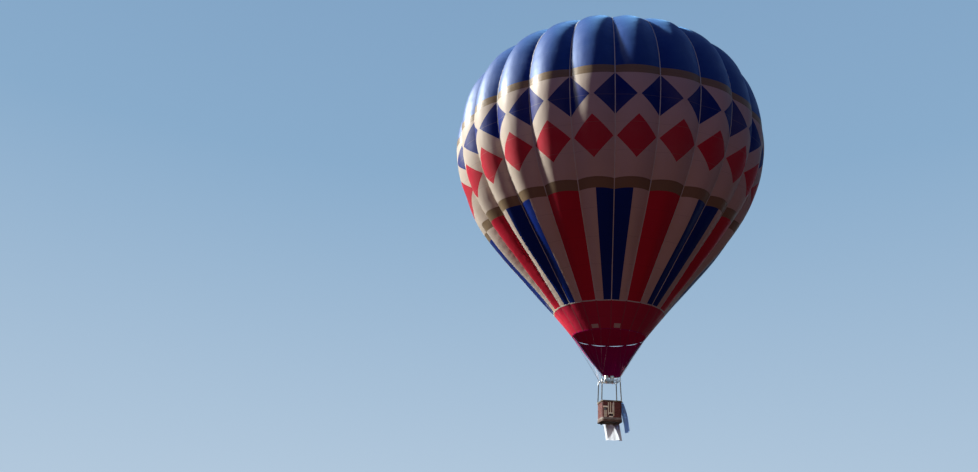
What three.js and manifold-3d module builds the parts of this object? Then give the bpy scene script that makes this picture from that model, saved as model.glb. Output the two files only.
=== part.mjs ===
// Hot air balloon with a gored envelope, parachute valve, scoop, gimballed twin burner and wicker basket.
// Millimetres, +Z up. The origin is the centre of the envelope's mouth.
// +X and +Y follow the basket's short and long sides, and the step holes face -Y.
import * as THREE from 'three';
import { mergeVertices } from 'three/addons/utils/BufferGeometryUtils.js';
import Module from 'manifold-3d';

const wasm = await Module();
wasm.setup();

const GAP = 0.3;
const ROUND_SIDES = 16;
const DEGREES = Math.PI / 180;

// Envelope: the middle of a gore, as radius at each height, from the mouth to the crown ring.
const CREST_PROFILE = [
  { height: 0, radius: 1935 },
  { height: 750, radius: 2545 },
  { height: 1770, radius: 3415 },
  { height: 3140, radius: 4615 },
  { height: 4910, radius: 6155 },
  { height: 6780, radius: 7505 },
  { height: 8500, radius: 8315 },
  { height: 9990, radius: 8675 },
  { height: 11290, radius: 8775 },
  { height: 12610, radius: 8625 },
  { height: 13960, radius: 8195 },
  { height: 15230, radius: 7335 },
  { height: 16290, radius: 6005 },
  { height: 17030, radius: 4370 },
  { height: 17540, radius: 2235 },
  { height: 17830, radius: 0 },
];
const GORE_COUNT = 24;
const GORE_ANGLE = 360 / GORE_COUNT;
const GORE_FACETS = 3;
const SEAM_AZIMUTH = -7.5;
const FABRIC = 10;
const BULGE_RATIO = 0.042;
const BULGE_FULL_HEIGHT = 4500;
const BULGE_FULL_RADIUS = 5200;

// Panels that ring the envelope, from the mouth up.
const VENT_RADIUS = 2400;
const VALVE_RADIUS = 2750;
const PANELS = [
  { name: 'base_panels', from: 0, to: 1240, rows: 2, colour: 0xb42a24 },
  { name: 'striped_panels', from: 1240, to: 5580, rows: 4, colour: 0xe9dfc4 },
  { name: 'lower_band', from: 5580, to: 6020, rows: 1, colour: 0x9c8148 },
  { name: 'body_panels', from: 6020, to: 11040, rows: 5, colour: 0xe9dfc4 },
  { name: 'upper_band', from: 11040, to: 11480, rows: 1, colour: 0x9c8148 },
];
const CROWN = { name: 'crown_panels', from: 11480, rows: 5, colour: 0x142a78 };

// Load tapes over the vent, and the ring that they meet at.
const TAPE_WIDTH = 46;
const TAPE_THICKNESS = 6;
const TAPE_OVERLAP = 80;
const TAPE_RADII = [1400, 190];
const CROWN_RING_RADIUS = 200;
const CROWN_RING_TUBE = 16;

// Scoop: a cone below the mouth, open towards -Y, hung by tabs at every second seam.
const SCOOP_THICKNESS = 6;
const SCOOP_FIRST_AZIMUTH = 75;
const SCOOP_SPAN = 195;
const SCOOP_STEPS = 52;
const SCOOP_ROWS = 4;
const SCOOP_MOUTH_RADIUS = 1921.3;
const SCOOP_FOOT_RADIUS = 440;
const SCOOP_FOOT = -2050;
const SCOOP_LEAN = 140;
const SCOOP_TAB_TOP = 50;
const SCOOP_SLIT_DEPTH = 110;
const SCOOP_TAB_SHARPNESS = 0.35;
const SCOOP_TAB_COUNT = GORE_COUNT / 2;

// Burner frame, its gimbal and the burners.
const FRAME_HALF_X = 470;
const FRAME_HALF_Y = 540;
const FRAME_TUBE = 40;
const FRAME_CORNER = 60;
const FRAME_HEIGHT = -2320;
const SOCKET_RADIUS = 34;
const SOCKET_DEPTH = 90;
const LUG_SIZE = 46;
const LUG_HEIGHT = 30;
const LINK_RADIUS = 30;
const LINK_TUBE = 8;
const WIRE_RADIUS = 4;
const WIRE_START = 1.6;
const WIRES_PER_CORNER = GORE_COUNT / 4;
const PIN_RADIUS = 12;
const PIN_CLEARANCE = 0.5;
const PIN_SIDES = 12;
const BOSS_HALF = 30;
const GIMBAL_HALF_X = 385;
const GIMBAL_HALF_Y = 285;
const GIMBAL_TUBE = 30;
const GIMBAL_CORNER = 40;
const BURNER_SPACING = 150;
const CAN_RADIUS = 115;
const CAN_WALL = 5;
const CAN_HEIGHT = 260;
const BLOCK_HALF_X = 250;
const BLOCK_HALF_Y = 60;
const BLOCK_DEPTH = 60;
const COIL_RADIUS = 82;
const COIL_TUBE = 8;
const COIL_SEAT = 7;
const COIL_TURNS = 3;
const COIL_PITCH = 60;

// Basket.
const BASKET_HALF_X = 520;
const BASKET_HALF_Y = 660;
const BASKET_CORNER = 130;
const WALL = 35;
const RIM_TOP = -3380;
const RIM_HEIGHT = 90;
const RIM_OVERHANG = 26;
const RIM_ROUNDING = 18;
const FLOOR_TOP = -4400;
const FLOOR_THICKNESS = 25;
const WALL_FOOT = -4440;
const SKIRT_HEIGHT = 120;
const SKIRT_THICKNESS = 12;
const RUNNER_HALF_WIDTH = 35;
const RUNNER_HEIGHT = 45;
const RUNNER_LENGTH = 1300;
const RUNNER_OFFSET = 330;
const UPRIGHT_RADIUS = 28;
const UPRIGHT_SIDES = 10;
const UPRIGHT_FOOT = { x: 500, y: 600 };
const STEP_HOLES = [
  { x: -325, height: -3820, width: 125, depth: 75 },
  { x: -50, height: -4110, width: 170, depth: 90 },
];
const CYLINDER_RADIUS = 145;
const CYLINDER_HEIGHT = 840;
const CYLINDER_AT = { x: 335, y: 470 };
const COLLAR_RADIUS = 95;
const COLLAR_HEIGHT = 80;

// Cloths that hang from the rim: their top edge lies on the rim's side, and the wind lifts the foot.
const CLOTH_THICKNESS = 6;
const CLOTH_TOP = RIM_TOP - RIM_ROUNDING;
const CLOTH_ROWS = 6;
const CLOTHS = [
  { name: 'side_cloth', side: 'x', headHalf: 450, footHalf: 620, drop: 1460, lift: 370, shift: 0, curve: 0.8 },
  { name: 'back_cloth', side: 'y', headHalf: 460, footHalf: 450, drop: 1830, lift: 280, shift: -330, curve: 1.3 },
];

const COLOURS = {
  navy: 0x142a78, tape: 0xd8d2c0, maroon: 0x6e1420, steel: 0xb8babd, darkSteel: 0x3a3c40,
  wicker: 0x9a6238, leather: 0x2a1c18, plywood: 0xb08a58, cylinder: 0x8e9296, cloth: 0xeeeef2,
};

const group = new THREE.Group();

function addMesh(name, geometry, colour, roughness = 0.8, metalness = 0) {
  const material = new THREE.MeshStandardMaterial({ color: colour, roughness, metalness });
  const mesh = new THREE.Mesh(geometry, material);
  mesh.name = name;
  group.add(mesh);
  return mesh;
}

// A closed mesh as a solid for cutting and joining.
function toSolid(geometry) {
  const bare = geometry.clone();
  bare.deleteAttribute('normal');
  bare.deleteAttribute('uv');
  const merged = mergeVertices(bare, 1e-3);
  return new wasm.Manifold(new wasm.Mesh({
    numProp: 3,
    vertProperties: new Float32Array(merged.attributes.position.array),
    triVerts: new Uint32Array(merged.index.array),
  }));
}

function toGeometry(solid) {
  const mesh = solid.getMesh();
  const geometry = new THREE.BufferGeometry();
  geometry.setAttribute('position', new THREE.BufferAttribute(new Float32Array(mesh.vertProperties), 3));
  geometry.setIndex(new THREE.BufferAttribute(new Uint32Array(mesh.triVerts), 1));
  geometry.computeVertexNormals();
  return geometry;
}

function join(geometries) {
  return geometries.map(toSolid).reduce((whole, piece) => whole.add(piece));
}

function box(sizeX, sizeY, sizeZ, x, y, z) {
  return new THREE.BoxGeometry(sizeX, sizeY, sizeZ).translate(x, y, z);
}

// A straight round bar between two points.
function bar(from, to, radius, sides) {
  const section = new THREE.Shape();
  for (let i = 0; i < sides; i += 1) {
    const angle = (i / sides) * 2 * Math.PI;
    const point = [radius * Math.cos(angle), radius * Math.sin(angle)];
    if (i === 0) section.moveTo(...point);
    else section.lineTo(...point);
  }
  const extrudePath = new THREE.LineCurve3(from, to);
  return new THREE.ExtrudeGeometry(section, { steps: 1, bevelEnabled: false, extrudePath });
}

// A closed sheet of fabric: two grids of points, the outside and the inside, sewn along their edges.
// Seen from outside, rows run up and columns run to the right. A sheet that wraps has no side edges.
function sheet(outer, inner, wraps) {
  const rows = outer.length;
  const columns = outer[0].length;
  const positions = [];
  const index = [];
  [outer, inner].forEach((grid) => grid.forEach((row) => row.forEach((p) => positions.push(p.x, p.y, p.z))));
  const at = (layer, i, j) => (layer * rows + i) * columns + (j % columns);
  const quad = (a, b, c, d) => index.push(a, b, c, a, c, d);
  const spans = wraps ? columns : columns - 1;
  for (let j = 0; j < spans; j += 1) {
    for (let i = 0; i < rows - 1; i += 1) {
      quad(at(0, i, j), at(0, i, j + 1), at(0, i + 1, j + 1), at(0, i + 1, j));
      quad(at(1, i, j), at(1, i + 1, j), at(1, i + 1, j + 1), at(1, i, j + 1));
    }
    quad(at(1, 0, j), at(1, 0, j + 1), at(0, 0, j + 1), at(0, 0, j));
    quad(at(0, rows - 1, j), at(0, rows - 1, j + 1), at(1, rows - 1, j + 1), at(1, rows - 1, j));
  }
  if (!wraps) {
    for (let i = 0; i < rows - 1; i += 1) {
      const last = columns - 1;
      quad(at(0, i, 0), at(0, i + 1, 0), at(1, i + 1, 0), at(1, i, 0));
      quad(at(0, i, last), at(1, i, last), at(1, i + 1, last), at(0, i + 1, last));
    }
  }
  const geometry = new THREE.BufferGeometry();
  geometry.setAttribute('position', new THREE.BufferAttribute(new Float32Array(positions), 3));
  geometry.setIndex(index);
  geometry.computeVertexNormals();
  return geometry;
}

// The envelope's profile as a curve, with x as radius and y as height.
const profile = new THREE.SplineCurve(CREST_PROFILE.map((p) => new THREE.Vector2(p.radius, p.height)));
profile.arcLengthDivisions = 2000;

function placeOnProfile(isBelow) {
  let low = 0;
  let high = 1;
  for (let i = 0; i < 40; i += 1) {
    const middle = (low + high) / 2;
    if (isBelow(profile.getPointAt(middle))) low = middle;
    else high = middle;
  }
  return low;
}

function placeAtHeight(height) {
  return placeOnProfile((point) => point.y < height);
}

function placeAtCrownRadius(radius) {
  return placeOnProfile((point) => point.y < CROWN.from || point.x > radius);
}

const smoothStep = THREE.MathUtils.smoothstep;

// How far the seams lie inside the middle of the gores.
function bulgeAt(point) {
  const fromMouth = smoothStep(point.y, 0, BULGE_FULL_HEIGHT);
  const fromVent = point.y < CROWN.from ? 1 : smoothStep(point.x, VENT_RADIUS, BULGE_FULL_RADIUS);
  return BULGE_RATIO * point.x * fromMouth * fromVent;
}

// A point on the envelope: place runs along the profile, across is 0 mid-gore and 1 at a seam.
function envelopePoint(place, across, depth, azimuth) {
  const crest = profile.getPointAt(place);
  const tangent = profile.getTangentAt(place);
  const inset = bulgeAt(crest) * across * across + depth;
  const radius = crest.x - inset * tangent.y;
  const height = crest.y + inset * tangent.x;
  return ringPoint(radius, azimuth, height);
}

// Azimuth 0 faces -Y and grows towards +X.
function ringPoint(radius, azimuth, height) {
  const angle = azimuth * DEGREES;
  return new THREE.Vector3(radius * Math.sin(angle), -radius * Math.cos(angle), height);
}

function panelRing(places) {
  const layers = [0, FABRIC].map((depth) => places.map((place) => {
    const row = [];
    for (let j = 0; j < GORE_COUNT * GORE_FACETS; j += 1) {
      const across = ((j % GORE_FACETS) / GORE_FACETS) * 2 - 1;
      row.push(envelopePoint(place, across, depth, SEAM_AZIMUTH + (j * GORE_ANGLE) / GORE_FACETS));
    }
    return row;
  }));
  return sheet(layers[0], layers[1], true);
}

function evenPlaces(low, high, rows) {
  return Array.from({ length: rows + 1 }, (_, i) => low + ((high - low) * i) / rows);
}

const seamGap = GAP / profile.getLength();
for (const panel of PANELS) {
  const low = placeAtHeight(panel.from);
  const high = placeAtHeight(panel.to) - seamGap;
  addMesh(panel.name, panelRing(evenPlaces(low, high, panel.rows)), panel.colour);
}

const ventPlace = placeAtCrownRadius(VENT_RADIUS);
const valvePlace = placeAtCrownRadius(VALVE_RADIUS);
const crownPlaces = [...evenPlaces(placeAtHeight(CROWN.from), valvePlace, CROWN.rows), ventPlace];
addMesh(CROWN.name, panelRing(crownPlaces), CROWN.colour);

// The valve is a shallow dome under the vent, and its edge seats on the crown's inner face.
function parachuteValve() {
  const radii = [VALVE_RADIUS, VENT_RADIUS, 1400, 0];
  const face = (depth) => radii.map((radius) => {
    const place = radius > 0 ? placeAtCrownRadius(radius) : 1;
    const point = envelopePoint(place, 1, depth, 90);
    return new THREE.Vector2(radius > 0 ? point.x : 0, point.z);
  });
  const top = face(FABRIC + GAP);
  const under = face(2 * FABRIC + GAP);
  const geometry = new THREE.LatheGeometry([...under.reverse(), ...top], GORE_COUNT * GORE_FACETS);
  return geometry.rotateX(Math.PI / 2).rotateZ((SEAM_AZIMUTH - 90) * DEGREES);
}
addMesh('parachute_valve', parachuteValve(), COLOURS.navy);

// A load tape lies along a seam, from the crown's edge across the vent to the crown ring.
function ventTape(azimuth) {
  const radii = [VENT_RADIUS + TAPE_OVERLAP, VENT_RADIUS, ...TAPE_RADII];
  const layers = [-(GAP + TAPE_THICKNESS), -GAP].map((depth) => radii.map((radius) => {
    const half = Math.asin(TAPE_WIDTH / 2 / radius) / DEGREES;
    const place = placeAtCrownRadius(radius);
    return [-half, half].map((offset) => envelopePoint(place, 1, depth, azimuth + offset));
  }));
  return sheet(layers[0], layers[1], false);
}

function crownTapes() {
  const ringHeight = envelopePoint(placeAtCrownRadius(CROWN_RING_RADIUS), 1, 0, 0).z;
  const ring = new THREE.TorusGeometry(CROWN_RING_RADIUS, CROWN_RING_TUBE, 6, GORE_COUNT);
  ring.translate(0, 0, ringHeight + CROWN_RING_TUBE / 2);
  const tapes = Array.from({ length: GORE_COUNT }, (_, i) => ventTape(SEAM_AZIMUTH + i * GORE_ANGLE));
  return toGeometry(join([ring, ...tapes]));
}
addMesh('crown_tapes', crownTapes(), COLOURS.tape);

// The scoop's top edge dips between its tabs, and the wind leans its foot towards +X.
function scoop() {
  const slope = (SCOOP_MOUTH_RADIUS - SCOOP_FOOT_RADIUS) / -SCOOP_FOOT;
  const layers = [0, SCOOP_THICKNESS].map((depth) => {
    const grid = [];
    for (let i = 0; i <= SCOOP_ROWS; i += 1) {
      const row = [];
      for (let j = 0; j <= SCOOP_STEPS; j += 1) {
        const azimuth = SCOOP_FIRST_AZIMUTH + (SCOOP_SPAN * j) / SCOOP_STEPS;
        const wave = Math.abs(Math.sin(((azimuth - SEAM_AZIMUTH) * DEGREES * SCOOP_TAB_COUNT) / 2));
        const top = SCOOP_TAB_TOP - SCOOP_SLIT_DEPTH * wave ** SCOOP_TAB_SHARPNESS;
        const height = SCOOP_FOOT + ((top - SCOOP_FOOT) * i) / SCOOP_ROWS;
        const point = ringPoint(SCOOP_MOUTH_RADIUS + slope * height - depth, azimuth, height);
        point.x += SCOOP_LEAN * (height / SCOOP_FOOT) ** 2;
        row.push(point);
      }
      grid.push(row);
    }
    return grid;
  });
  return sheet(layers[0], layers[1], false);
}
addMesh('scoop', scoop(), COLOURS.maroon);

const CORNERS = [
  { name: 'front_right', x: 1, y: -1 },
  { name: 'back_right', x: 1, y: 1 },
  { name: 'back_left', x: -1, y: 1 },
  { name: 'front_left', x: -1, y: -1 },
];

const lugTop = FRAME_HEIGHT + FRAME_TUBE / 2 + LUG_HEIGHT;
const linkHeight = lugTop + GAP + LINK_RADIUS + LINK_TUBE;

// Six wires run from the mouth's seams to a link on one corner of the burner frame.
function flyingWires(corner, number) {
  const centre = new THREE.Vector3(corner.x * FRAME_HALF_X, corner.y * FRAME_HALF_Y, linkHeight);
  const knot = centre.clone().add(new THREE.Vector3(0, 0, LINK_RADIUS));
  const link = new THREE.TorusGeometry(LINK_RADIUS, LINK_TUBE, 6, 12).rotateX(Math.PI / 2);
  link.translate(centre.x, centre.y, centre.z);
  const wires = [];
  for (let i = 0; i < WIRES_PER_CORNER; i += 1) {
    const azimuth = SEAM_AZIMUTH + (number * WIRES_PER_CORNER + i + 1) * GORE_ANGLE;
    const hem = envelopePoint(0, 1, FABRIC / 2, azimuth);
    const away = knot.clone().sub(hem).normalize();
    wires.push(bar(hem.addScaledVector(away, WIRE_START), knot, WIRE_RADIUS, 5));
  }
  return toGeometry(join([link, ...wires]));
}
CORNERS.forEach((corner, number) => {
  addMesh(`flying_wires_${corner.name}`, flyingWires(corner, number), COLOURS.steel, 0.4, 0.9);
});

// A rounded rectangle about the origin.
function roundedRectangle(target, halfX, halfY, corner) {
  target.moveTo(halfX, -halfY + corner);
  target.lineTo(halfX, halfY - corner);
  target.absarc(halfX - corner, halfY - corner, corner, 0, Math.PI / 2, false);
  target.lineTo(-halfX + corner, halfY);
  target.absarc(-halfX + corner, halfY - corner, corner, Math.PI / 2, Math.PI, false);
  target.lineTo(-halfX, -halfY + corner);
  target.absarc(-halfX + corner, -halfY + corner, corner, Math.PI, 1.5 * Math.PI, false);
  target.lineTo(halfX - corner, -halfY);
  target.absarc(halfX - corner, -halfY + corner, corner, 1.5 * Math.PI, 2 * Math.PI, false);
  return target;
}

// A rounded rectangular ring standing from low to high.
function ringFrame(outerX, outerY, corner, wall, low, high, rounding = 0) {
  const shape = roundedRectangle(new THREE.Shape(), outerX - rounding, outerY - rounding, corner - rounding);
  const inside = wall - rounding;
  const hole = roundedRectangle(new THREE.Path(), outerX - inside, outerY - inside, corner - inside);
  shape.holes.push(hole);
  const geometry = new THREE.ExtrudeGeometry(shape, {
    depth: high - low - 2 * rounding,
    curveSegments: 3,
    bevelEnabled: rounding > 0,
    bevelThickness: rounding,
    bevelSize: rounding,
    bevelSegments: 1,
  });
  return geometry.translate(0, 0, low + rounding);
}

function plate(halfX, halfY, corner, low, high) {
  const shape = roundedRectangle(new THREE.Shape(), halfX, halfY, corner);
  const geometry = new THREE.ExtrudeGeometry(shape, { depth: high - low, curveSegments: 3, bevelEnabled: false });
  return geometry.translate(0, 0, low);
}

// A pin hole is a little wider than its pin, measured across its flats.
function pinHole(from, to) {
  const radius = (PIN_RADIUS + PIN_CLEARANCE) / Math.cos(Math.PI / PIN_SIDES);
  return toSolid(bar(from, to, radius, PIN_SIDES));
}

const pivot = (x, y) => new THREE.Vector3(x, y, FRAME_HEIGHT);

function burnerFrame() {
  const outerX = FRAME_HALF_X + FRAME_TUBE / 2;
  const outerY = FRAME_HALF_Y + FRAME_TUBE / 2;
  const low = FRAME_HEIGHT - FRAME_TUBE / 2;
  const high = FRAME_HEIGHT + FRAME_TUBE / 2;
  const pieces = [ringFrame(outerX, outerY, FRAME_CORNER, FRAME_TUBE, low, high)];
  for (const corner of CORNERS) {
    const x = corner.x * FRAME_HALF_X;
    const y = corner.y * FRAME_HALF_Y;
    const socket = [new THREE.Vector3(x, y, low - SOCKET_DEPTH), new THREE.Vector3(x, y, high - 1)];
    pieces.push(bar(...socket, SOCKET_RADIUS, UPRIGHT_SIDES));
    pieces.push(box(LUG_SIZE, LUG_SIZE, LUG_HEIGHT + 2, x, y, high + LUG_HEIGHT / 2 - 1));
  }
  for (const side of [1, -1]) {
    pieces.push(box(FRAME_TUBE + 2, 2 * BOSS_HALF, 2 * BOSS_HALF, side * FRAME_HALF_X, 0, FRAME_HEIGHT));
  }
  const hole = pinHole(pivot(-outerX - 5, 0), pivot(outerX + 5, 0));
  return toGeometry(join(pieces).subtract(hole));
}
addMesh('burner_frame', burnerFrame(), COLOURS.steel, 0.35, 0.9);

// The gimbal ring turns in the frame about X, and carries the burners on pins along Y.
function gimbalRing() {
  const low = FRAME_HEIGHT - GIMBAL_TUBE / 2;
  const high = FRAME_HEIGHT + GIMBAL_TUBE / 2;
  const pieces = [ringFrame(GIMBAL_HALF_X, GIMBAL_HALF_Y, GIMBAL_CORNER, GIMBAL_TUBE, low, high)];
  for (const side of [1, -1]) {
    const root = pivot(side * (GIMBAL_HALF_X - GIMBAL_TUBE / 2), 0);
    pieces.push(bar(root, pivot(side * (FRAME_HALF_X + FRAME_TUBE / 4), 0), PIN_RADIUS, PIN_SIDES));
    const bossY = side * (GIMBAL_HALF_Y - GIMBAL_TUBE / 2);
    pieces.push(box(2 * BOSS_HALF, GIMBAL_TUBE + 2, 2 * BOSS_HALF, 0, bossY, FRAME_HEIGHT));
  }
  const hole = pinHole(pivot(0, -GIMBAL_HALF_Y - 5), pivot(0, GIMBAL_HALF_Y + 5));
  return toGeometry(join(pieces).subtract(hole));
}
addMesh('gimbal_ring', gimbalRing(), COLOURS.steel, 0.35, 0.9);

const blockTop = FRAME_HEIGHT + 2 * PIN_RADIUS;

function burnerBlock() {
  const body = box(2 * BLOCK_HALF_X, 2 * BLOCK_HALF_Y, BLOCK_DEPTH, 0, 0, blockTop - BLOCK_DEPTH / 2);
  const pin = bar(
    pivot(0, -GIMBAL_HALF_Y + GIMBAL_TUBE / 4),
    pivot(0, GIMBAL_HALF_Y - GIMBAL_TUBE / 4),
    PIN_RADIUS,
    PIN_SIDES,
  );
  return toGeometry(join([body, pin]));
}
addMesh('burner_block', burnerBlock(), COLOURS.steel, 0.4, 0.9);

// A can is an open tube round the coil. The coil's foot stands on the block.
function burnerCan(x) {
  const low = blockTop + GAP;
  const high = low + CAN_HEIGHT;
  const inner = CAN_RADIUS - CAN_WALL;
  const outline = [[inner, low], [CAN_RADIUS, low], [CAN_RADIUS, high], [inner, high], [inner, low]];
  const points = outline.map(([radius, height]) => new THREE.Vector2(radius, height));
  return new THREE.LatheGeometry(points, ROUND_SIDES).rotateX(Math.PI / 2).translate(x, 0, 0);
}

class CoilCurve extends THREE.Curve {
  constructor(x, foot) {
    super();
    this.x = x;
    this.foot = foot;
  }

  getPoint(t, target = new THREE.Vector3()) {
    const angle = t * COIL_TURNS * 2 * Math.PI;
    const height = this.foot + t * COIL_TURNS * COIL_PITCH;
    return target.set(this.x + COIL_RADIUS * Math.cos(angle), COIL_RADIUS * Math.sin(angle), height);
  }
}

function burnerCoil(x) {
  const section = new THREE.Shape();
  section.absarc(0, 0, COIL_TUBE, 0, 2 * Math.PI, false);
  const options = {
    steps: COIL_TURNS * 10,
    curveSegments: 3,
    bevelEnabled: false,
    extrudePath: new CoilCurve(x, blockTop + COIL_SEAT),
  };
  return new THREE.ExtrudeGeometry(section, options);
}
for (const [name, x] of [['left', -BURNER_SPACING], ['right', BURNER_SPACING]]) {
  addMesh(`burner_can_${name}`, burnerCan(x), COLOURS.steel, 0.3, 0.9);
  addMesh(`burner_coil_${name}`, burnerCoil(x), COLOURS.darkSteel, 0.5, 0.8);
}

// Leather-covered rods lean in from the rim to the sockets under the frame.
function upright(corner) {
  const socketFoot = FRAME_HEIGHT - FRAME_TUBE / 2 - SOCKET_DEPTH;
  const head = new THREE.Vector3(corner.x * FRAME_HALF_X, corner.y * FRAME_HALF_Y, socketFoot);
  const foot = new THREE.Vector3(corner.x * UPRIGHT_FOOT.x, corner.y * UPRIGHT_FOOT.y, RIM_TOP);
  const lean = foot.clone().sub(head).normalize();
  const clear = UPRIGHT_RADIUS * Math.hypot(lean.x, lean.y) + GAP;
  head.addScaledVector(lean, clear);
  foot.addScaledVector(lean, -clear);
  return bar(head, foot, UPRIGHT_RADIUS, UPRIGHT_SIDES);
}
for (const corner of CORNERS) {
  addMesh(`upright_${corner.name}`, upright(corner), COLOURS.leather, 0.7);
}

function basketWalls() {
  const high = RIM_TOP - RIM_HEIGHT - GAP;
  let walls = toSolid(ringFrame(BASKET_HALF_X, BASKET_HALF_Y, BASKET_CORNER, WALL, WALL_FOOT, high));
  for (const hole of STEP_HOLES) {
    const cut = box(hole.width, 2 * BASKET_HALF_Y + 20, hole.depth, hole.x, 0, hole.height);
    walls = walls.subtract(toSolid(cut));
  }
  return toGeometry(walls);
}
addMesh('basket_walls', basketWalls(), COLOURS.wicker, 0.75);

function topRim() {
  const outerX = BASKET_HALF_X + RIM_OVERHANG;
  const outerY = BASKET_HALF_Y + RIM_OVERHANG;
  const wall = WALL + 2 * RIM_OVERHANG;
  const corner = BASKET_CORNER + RIM_OVERHANG;
  return ringFrame(outerX, outerY, corner, wall, RIM_TOP - RIM_HEIGHT, RIM_TOP, RIM_ROUNDING);
}
addMesh('top_rim', topRim(), COLOURS.leather, 0.6);

const floorInset = WALL + GAP;
const floorPlate = plate(
  BASKET_HALF_X - floorInset,
  BASKET_HALF_Y - floorInset,
  BASKET_CORNER - floorInset,
  FLOOR_TOP - FLOOR_THICKNESS,
  FLOOR_TOP,
);
addMesh('basket_floor', floorPlate, COLOURS.plywood, 0.7);

const skirtReach = SKIRT_THICKNESS + GAP;
const skirt = ringFrame(
  BASKET_HALF_X + skirtReach,
  BASKET_HALF_Y + skirtReach,
  BASKET_CORNER + skirtReach,
  SKIRT_THICKNESS,
  WALL_FOOT,
  WALL_FOOT + SKIRT_HEIGHT,
);
addMesh('basket_skirt', skirt, COLOURS.leather, 0.7);

for (const [name, side] of [['left', -1], ['right', 1]]) {
  const height = WALL_FOOT - GAP - RUNNER_HEIGHT / 2;
  const runner = box(2 * RUNNER_HALF_WIDTH, RUNNER_LENGTH, RUNNER_HEIGHT, side * RUNNER_OFFSET, 0, height);
  addMesh(`runner_${name}`, runner, COLOURS.plywood, 0.7);
}

// A fuel cylinder with a domed shoulder and a collar.
function fuelCylinder(corner) {
  const foot = FLOOR_TOP + GAP;
  const shoulder = foot + CYLINDER_HEIGHT - CYLINDER_RADIUS / 2;
  const top = foot + CYLINDER_HEIGHT;
  const outline = [
    { radius: 0, height: foot },
    { radius: CYLINDER_RADIUS - 15, height: foot },
    { radius: CYLINDER_RADIUS, height: foot + 30 },
    { radius: CYLINDER_RADIUS, height: shoulder },
    { radius: 0.87 * CYLINDER_RADIUS, height: shoulder + CYLINDER_RADIUS / 4 },
    { radius: COLLAR_RADIUS, height: top },
    { radius: COLLAR_RADIUS, height: top + COLLAR_HEIGHT },
    { radius: 0, height: top + COLLAR_HEIGHT },
  ];
  const points = outline.map((p) => new THREE.Vector2(p.radius, p.height));
  const geometry = new THREE.LatheGeometry(points, ROUND_SIDES).rotateX(Math.PI / 2);
  return geometry.translate(corner.x * CYLINDER_AT.x, corner.y * CYLINDER_AT.y, 0);
}
for (const corner of CORNERS) {
  addMesh(`fuel_cylinder_${corner.name}`, fuelCylinder(corner), COLOURS.cylinder, 0.4, 0.7);
}

// A hanging cloth: its head lies against the rim, and its foot blows out and sideways.
function hangingCloth(cloth) {
  const rimX = BASKET_HALF_X + RIM_OVERHANG + GAP;
  const rimY = BASKET_HALF_Y + RIM_OVERHANG + GAP;
  const layers = [CLOTH_THICKNESS, 0].map((out) => {
    const grid = [];
    for (let i = 0; i <= CLOTH_ROWS; i += 1) {
      const down = 1 - i / CLOTH_ROWS;
      const half = cloth.headHalf + (cloth.footHalf - cloth.headHalf) * down;
      const reach = cloth.lift * down ** cloth.curve + out;
      const height = CLOTH_TOP - cloth.drop * down;
      grid.push([-1, 1].map((edge) => {
        const along = edge * half + cloth.shift * down;
        if (cloth.side === 'x') return new THREE.Vector3(rimX + reach, along, height);
        return new THREE.Vector3(-along, rimY + reach, height);
      }));
    }
    return grid;
  });
  return sheet(layers[0], layers[1], false);
}
for (const cloth of CLOTHS) {
  addMesh(cloth.name, hangingCloth(cloth), COLOURS.cloth, 0.9);
}

export default group;
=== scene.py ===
import math

import bmesh
import bpy
import numpy as np
from mathutils import Matrix, Vector


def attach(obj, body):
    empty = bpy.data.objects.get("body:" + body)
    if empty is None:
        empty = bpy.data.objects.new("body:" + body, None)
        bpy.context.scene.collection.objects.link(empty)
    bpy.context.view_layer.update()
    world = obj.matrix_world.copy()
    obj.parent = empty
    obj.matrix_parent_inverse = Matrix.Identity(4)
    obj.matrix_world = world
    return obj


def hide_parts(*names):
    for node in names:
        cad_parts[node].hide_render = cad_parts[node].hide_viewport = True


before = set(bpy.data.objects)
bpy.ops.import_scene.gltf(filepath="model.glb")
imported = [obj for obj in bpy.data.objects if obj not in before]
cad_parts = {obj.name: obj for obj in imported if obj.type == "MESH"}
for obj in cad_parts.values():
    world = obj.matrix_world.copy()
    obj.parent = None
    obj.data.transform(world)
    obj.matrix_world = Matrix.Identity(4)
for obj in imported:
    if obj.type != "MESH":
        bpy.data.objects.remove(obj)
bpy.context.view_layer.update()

# Camera: it stands on the floor, far below the basket, and looks up past it.
CAMERA_AZIMUTH = -10.4
CAMERA_DISTANCE = 38.02
CAMERA_HEIGHT = -9.13
CAMERA_YAW = 0.1773
CAMERA_PITCH = 0.372
CAMERA_ROLL = 0.0551
CAMERA_REACH = 2000
FOCAL_PIXELS = 713.07
PICTURE_WIDTH = 978
SENSOR_WIDTH = 36.0

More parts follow.
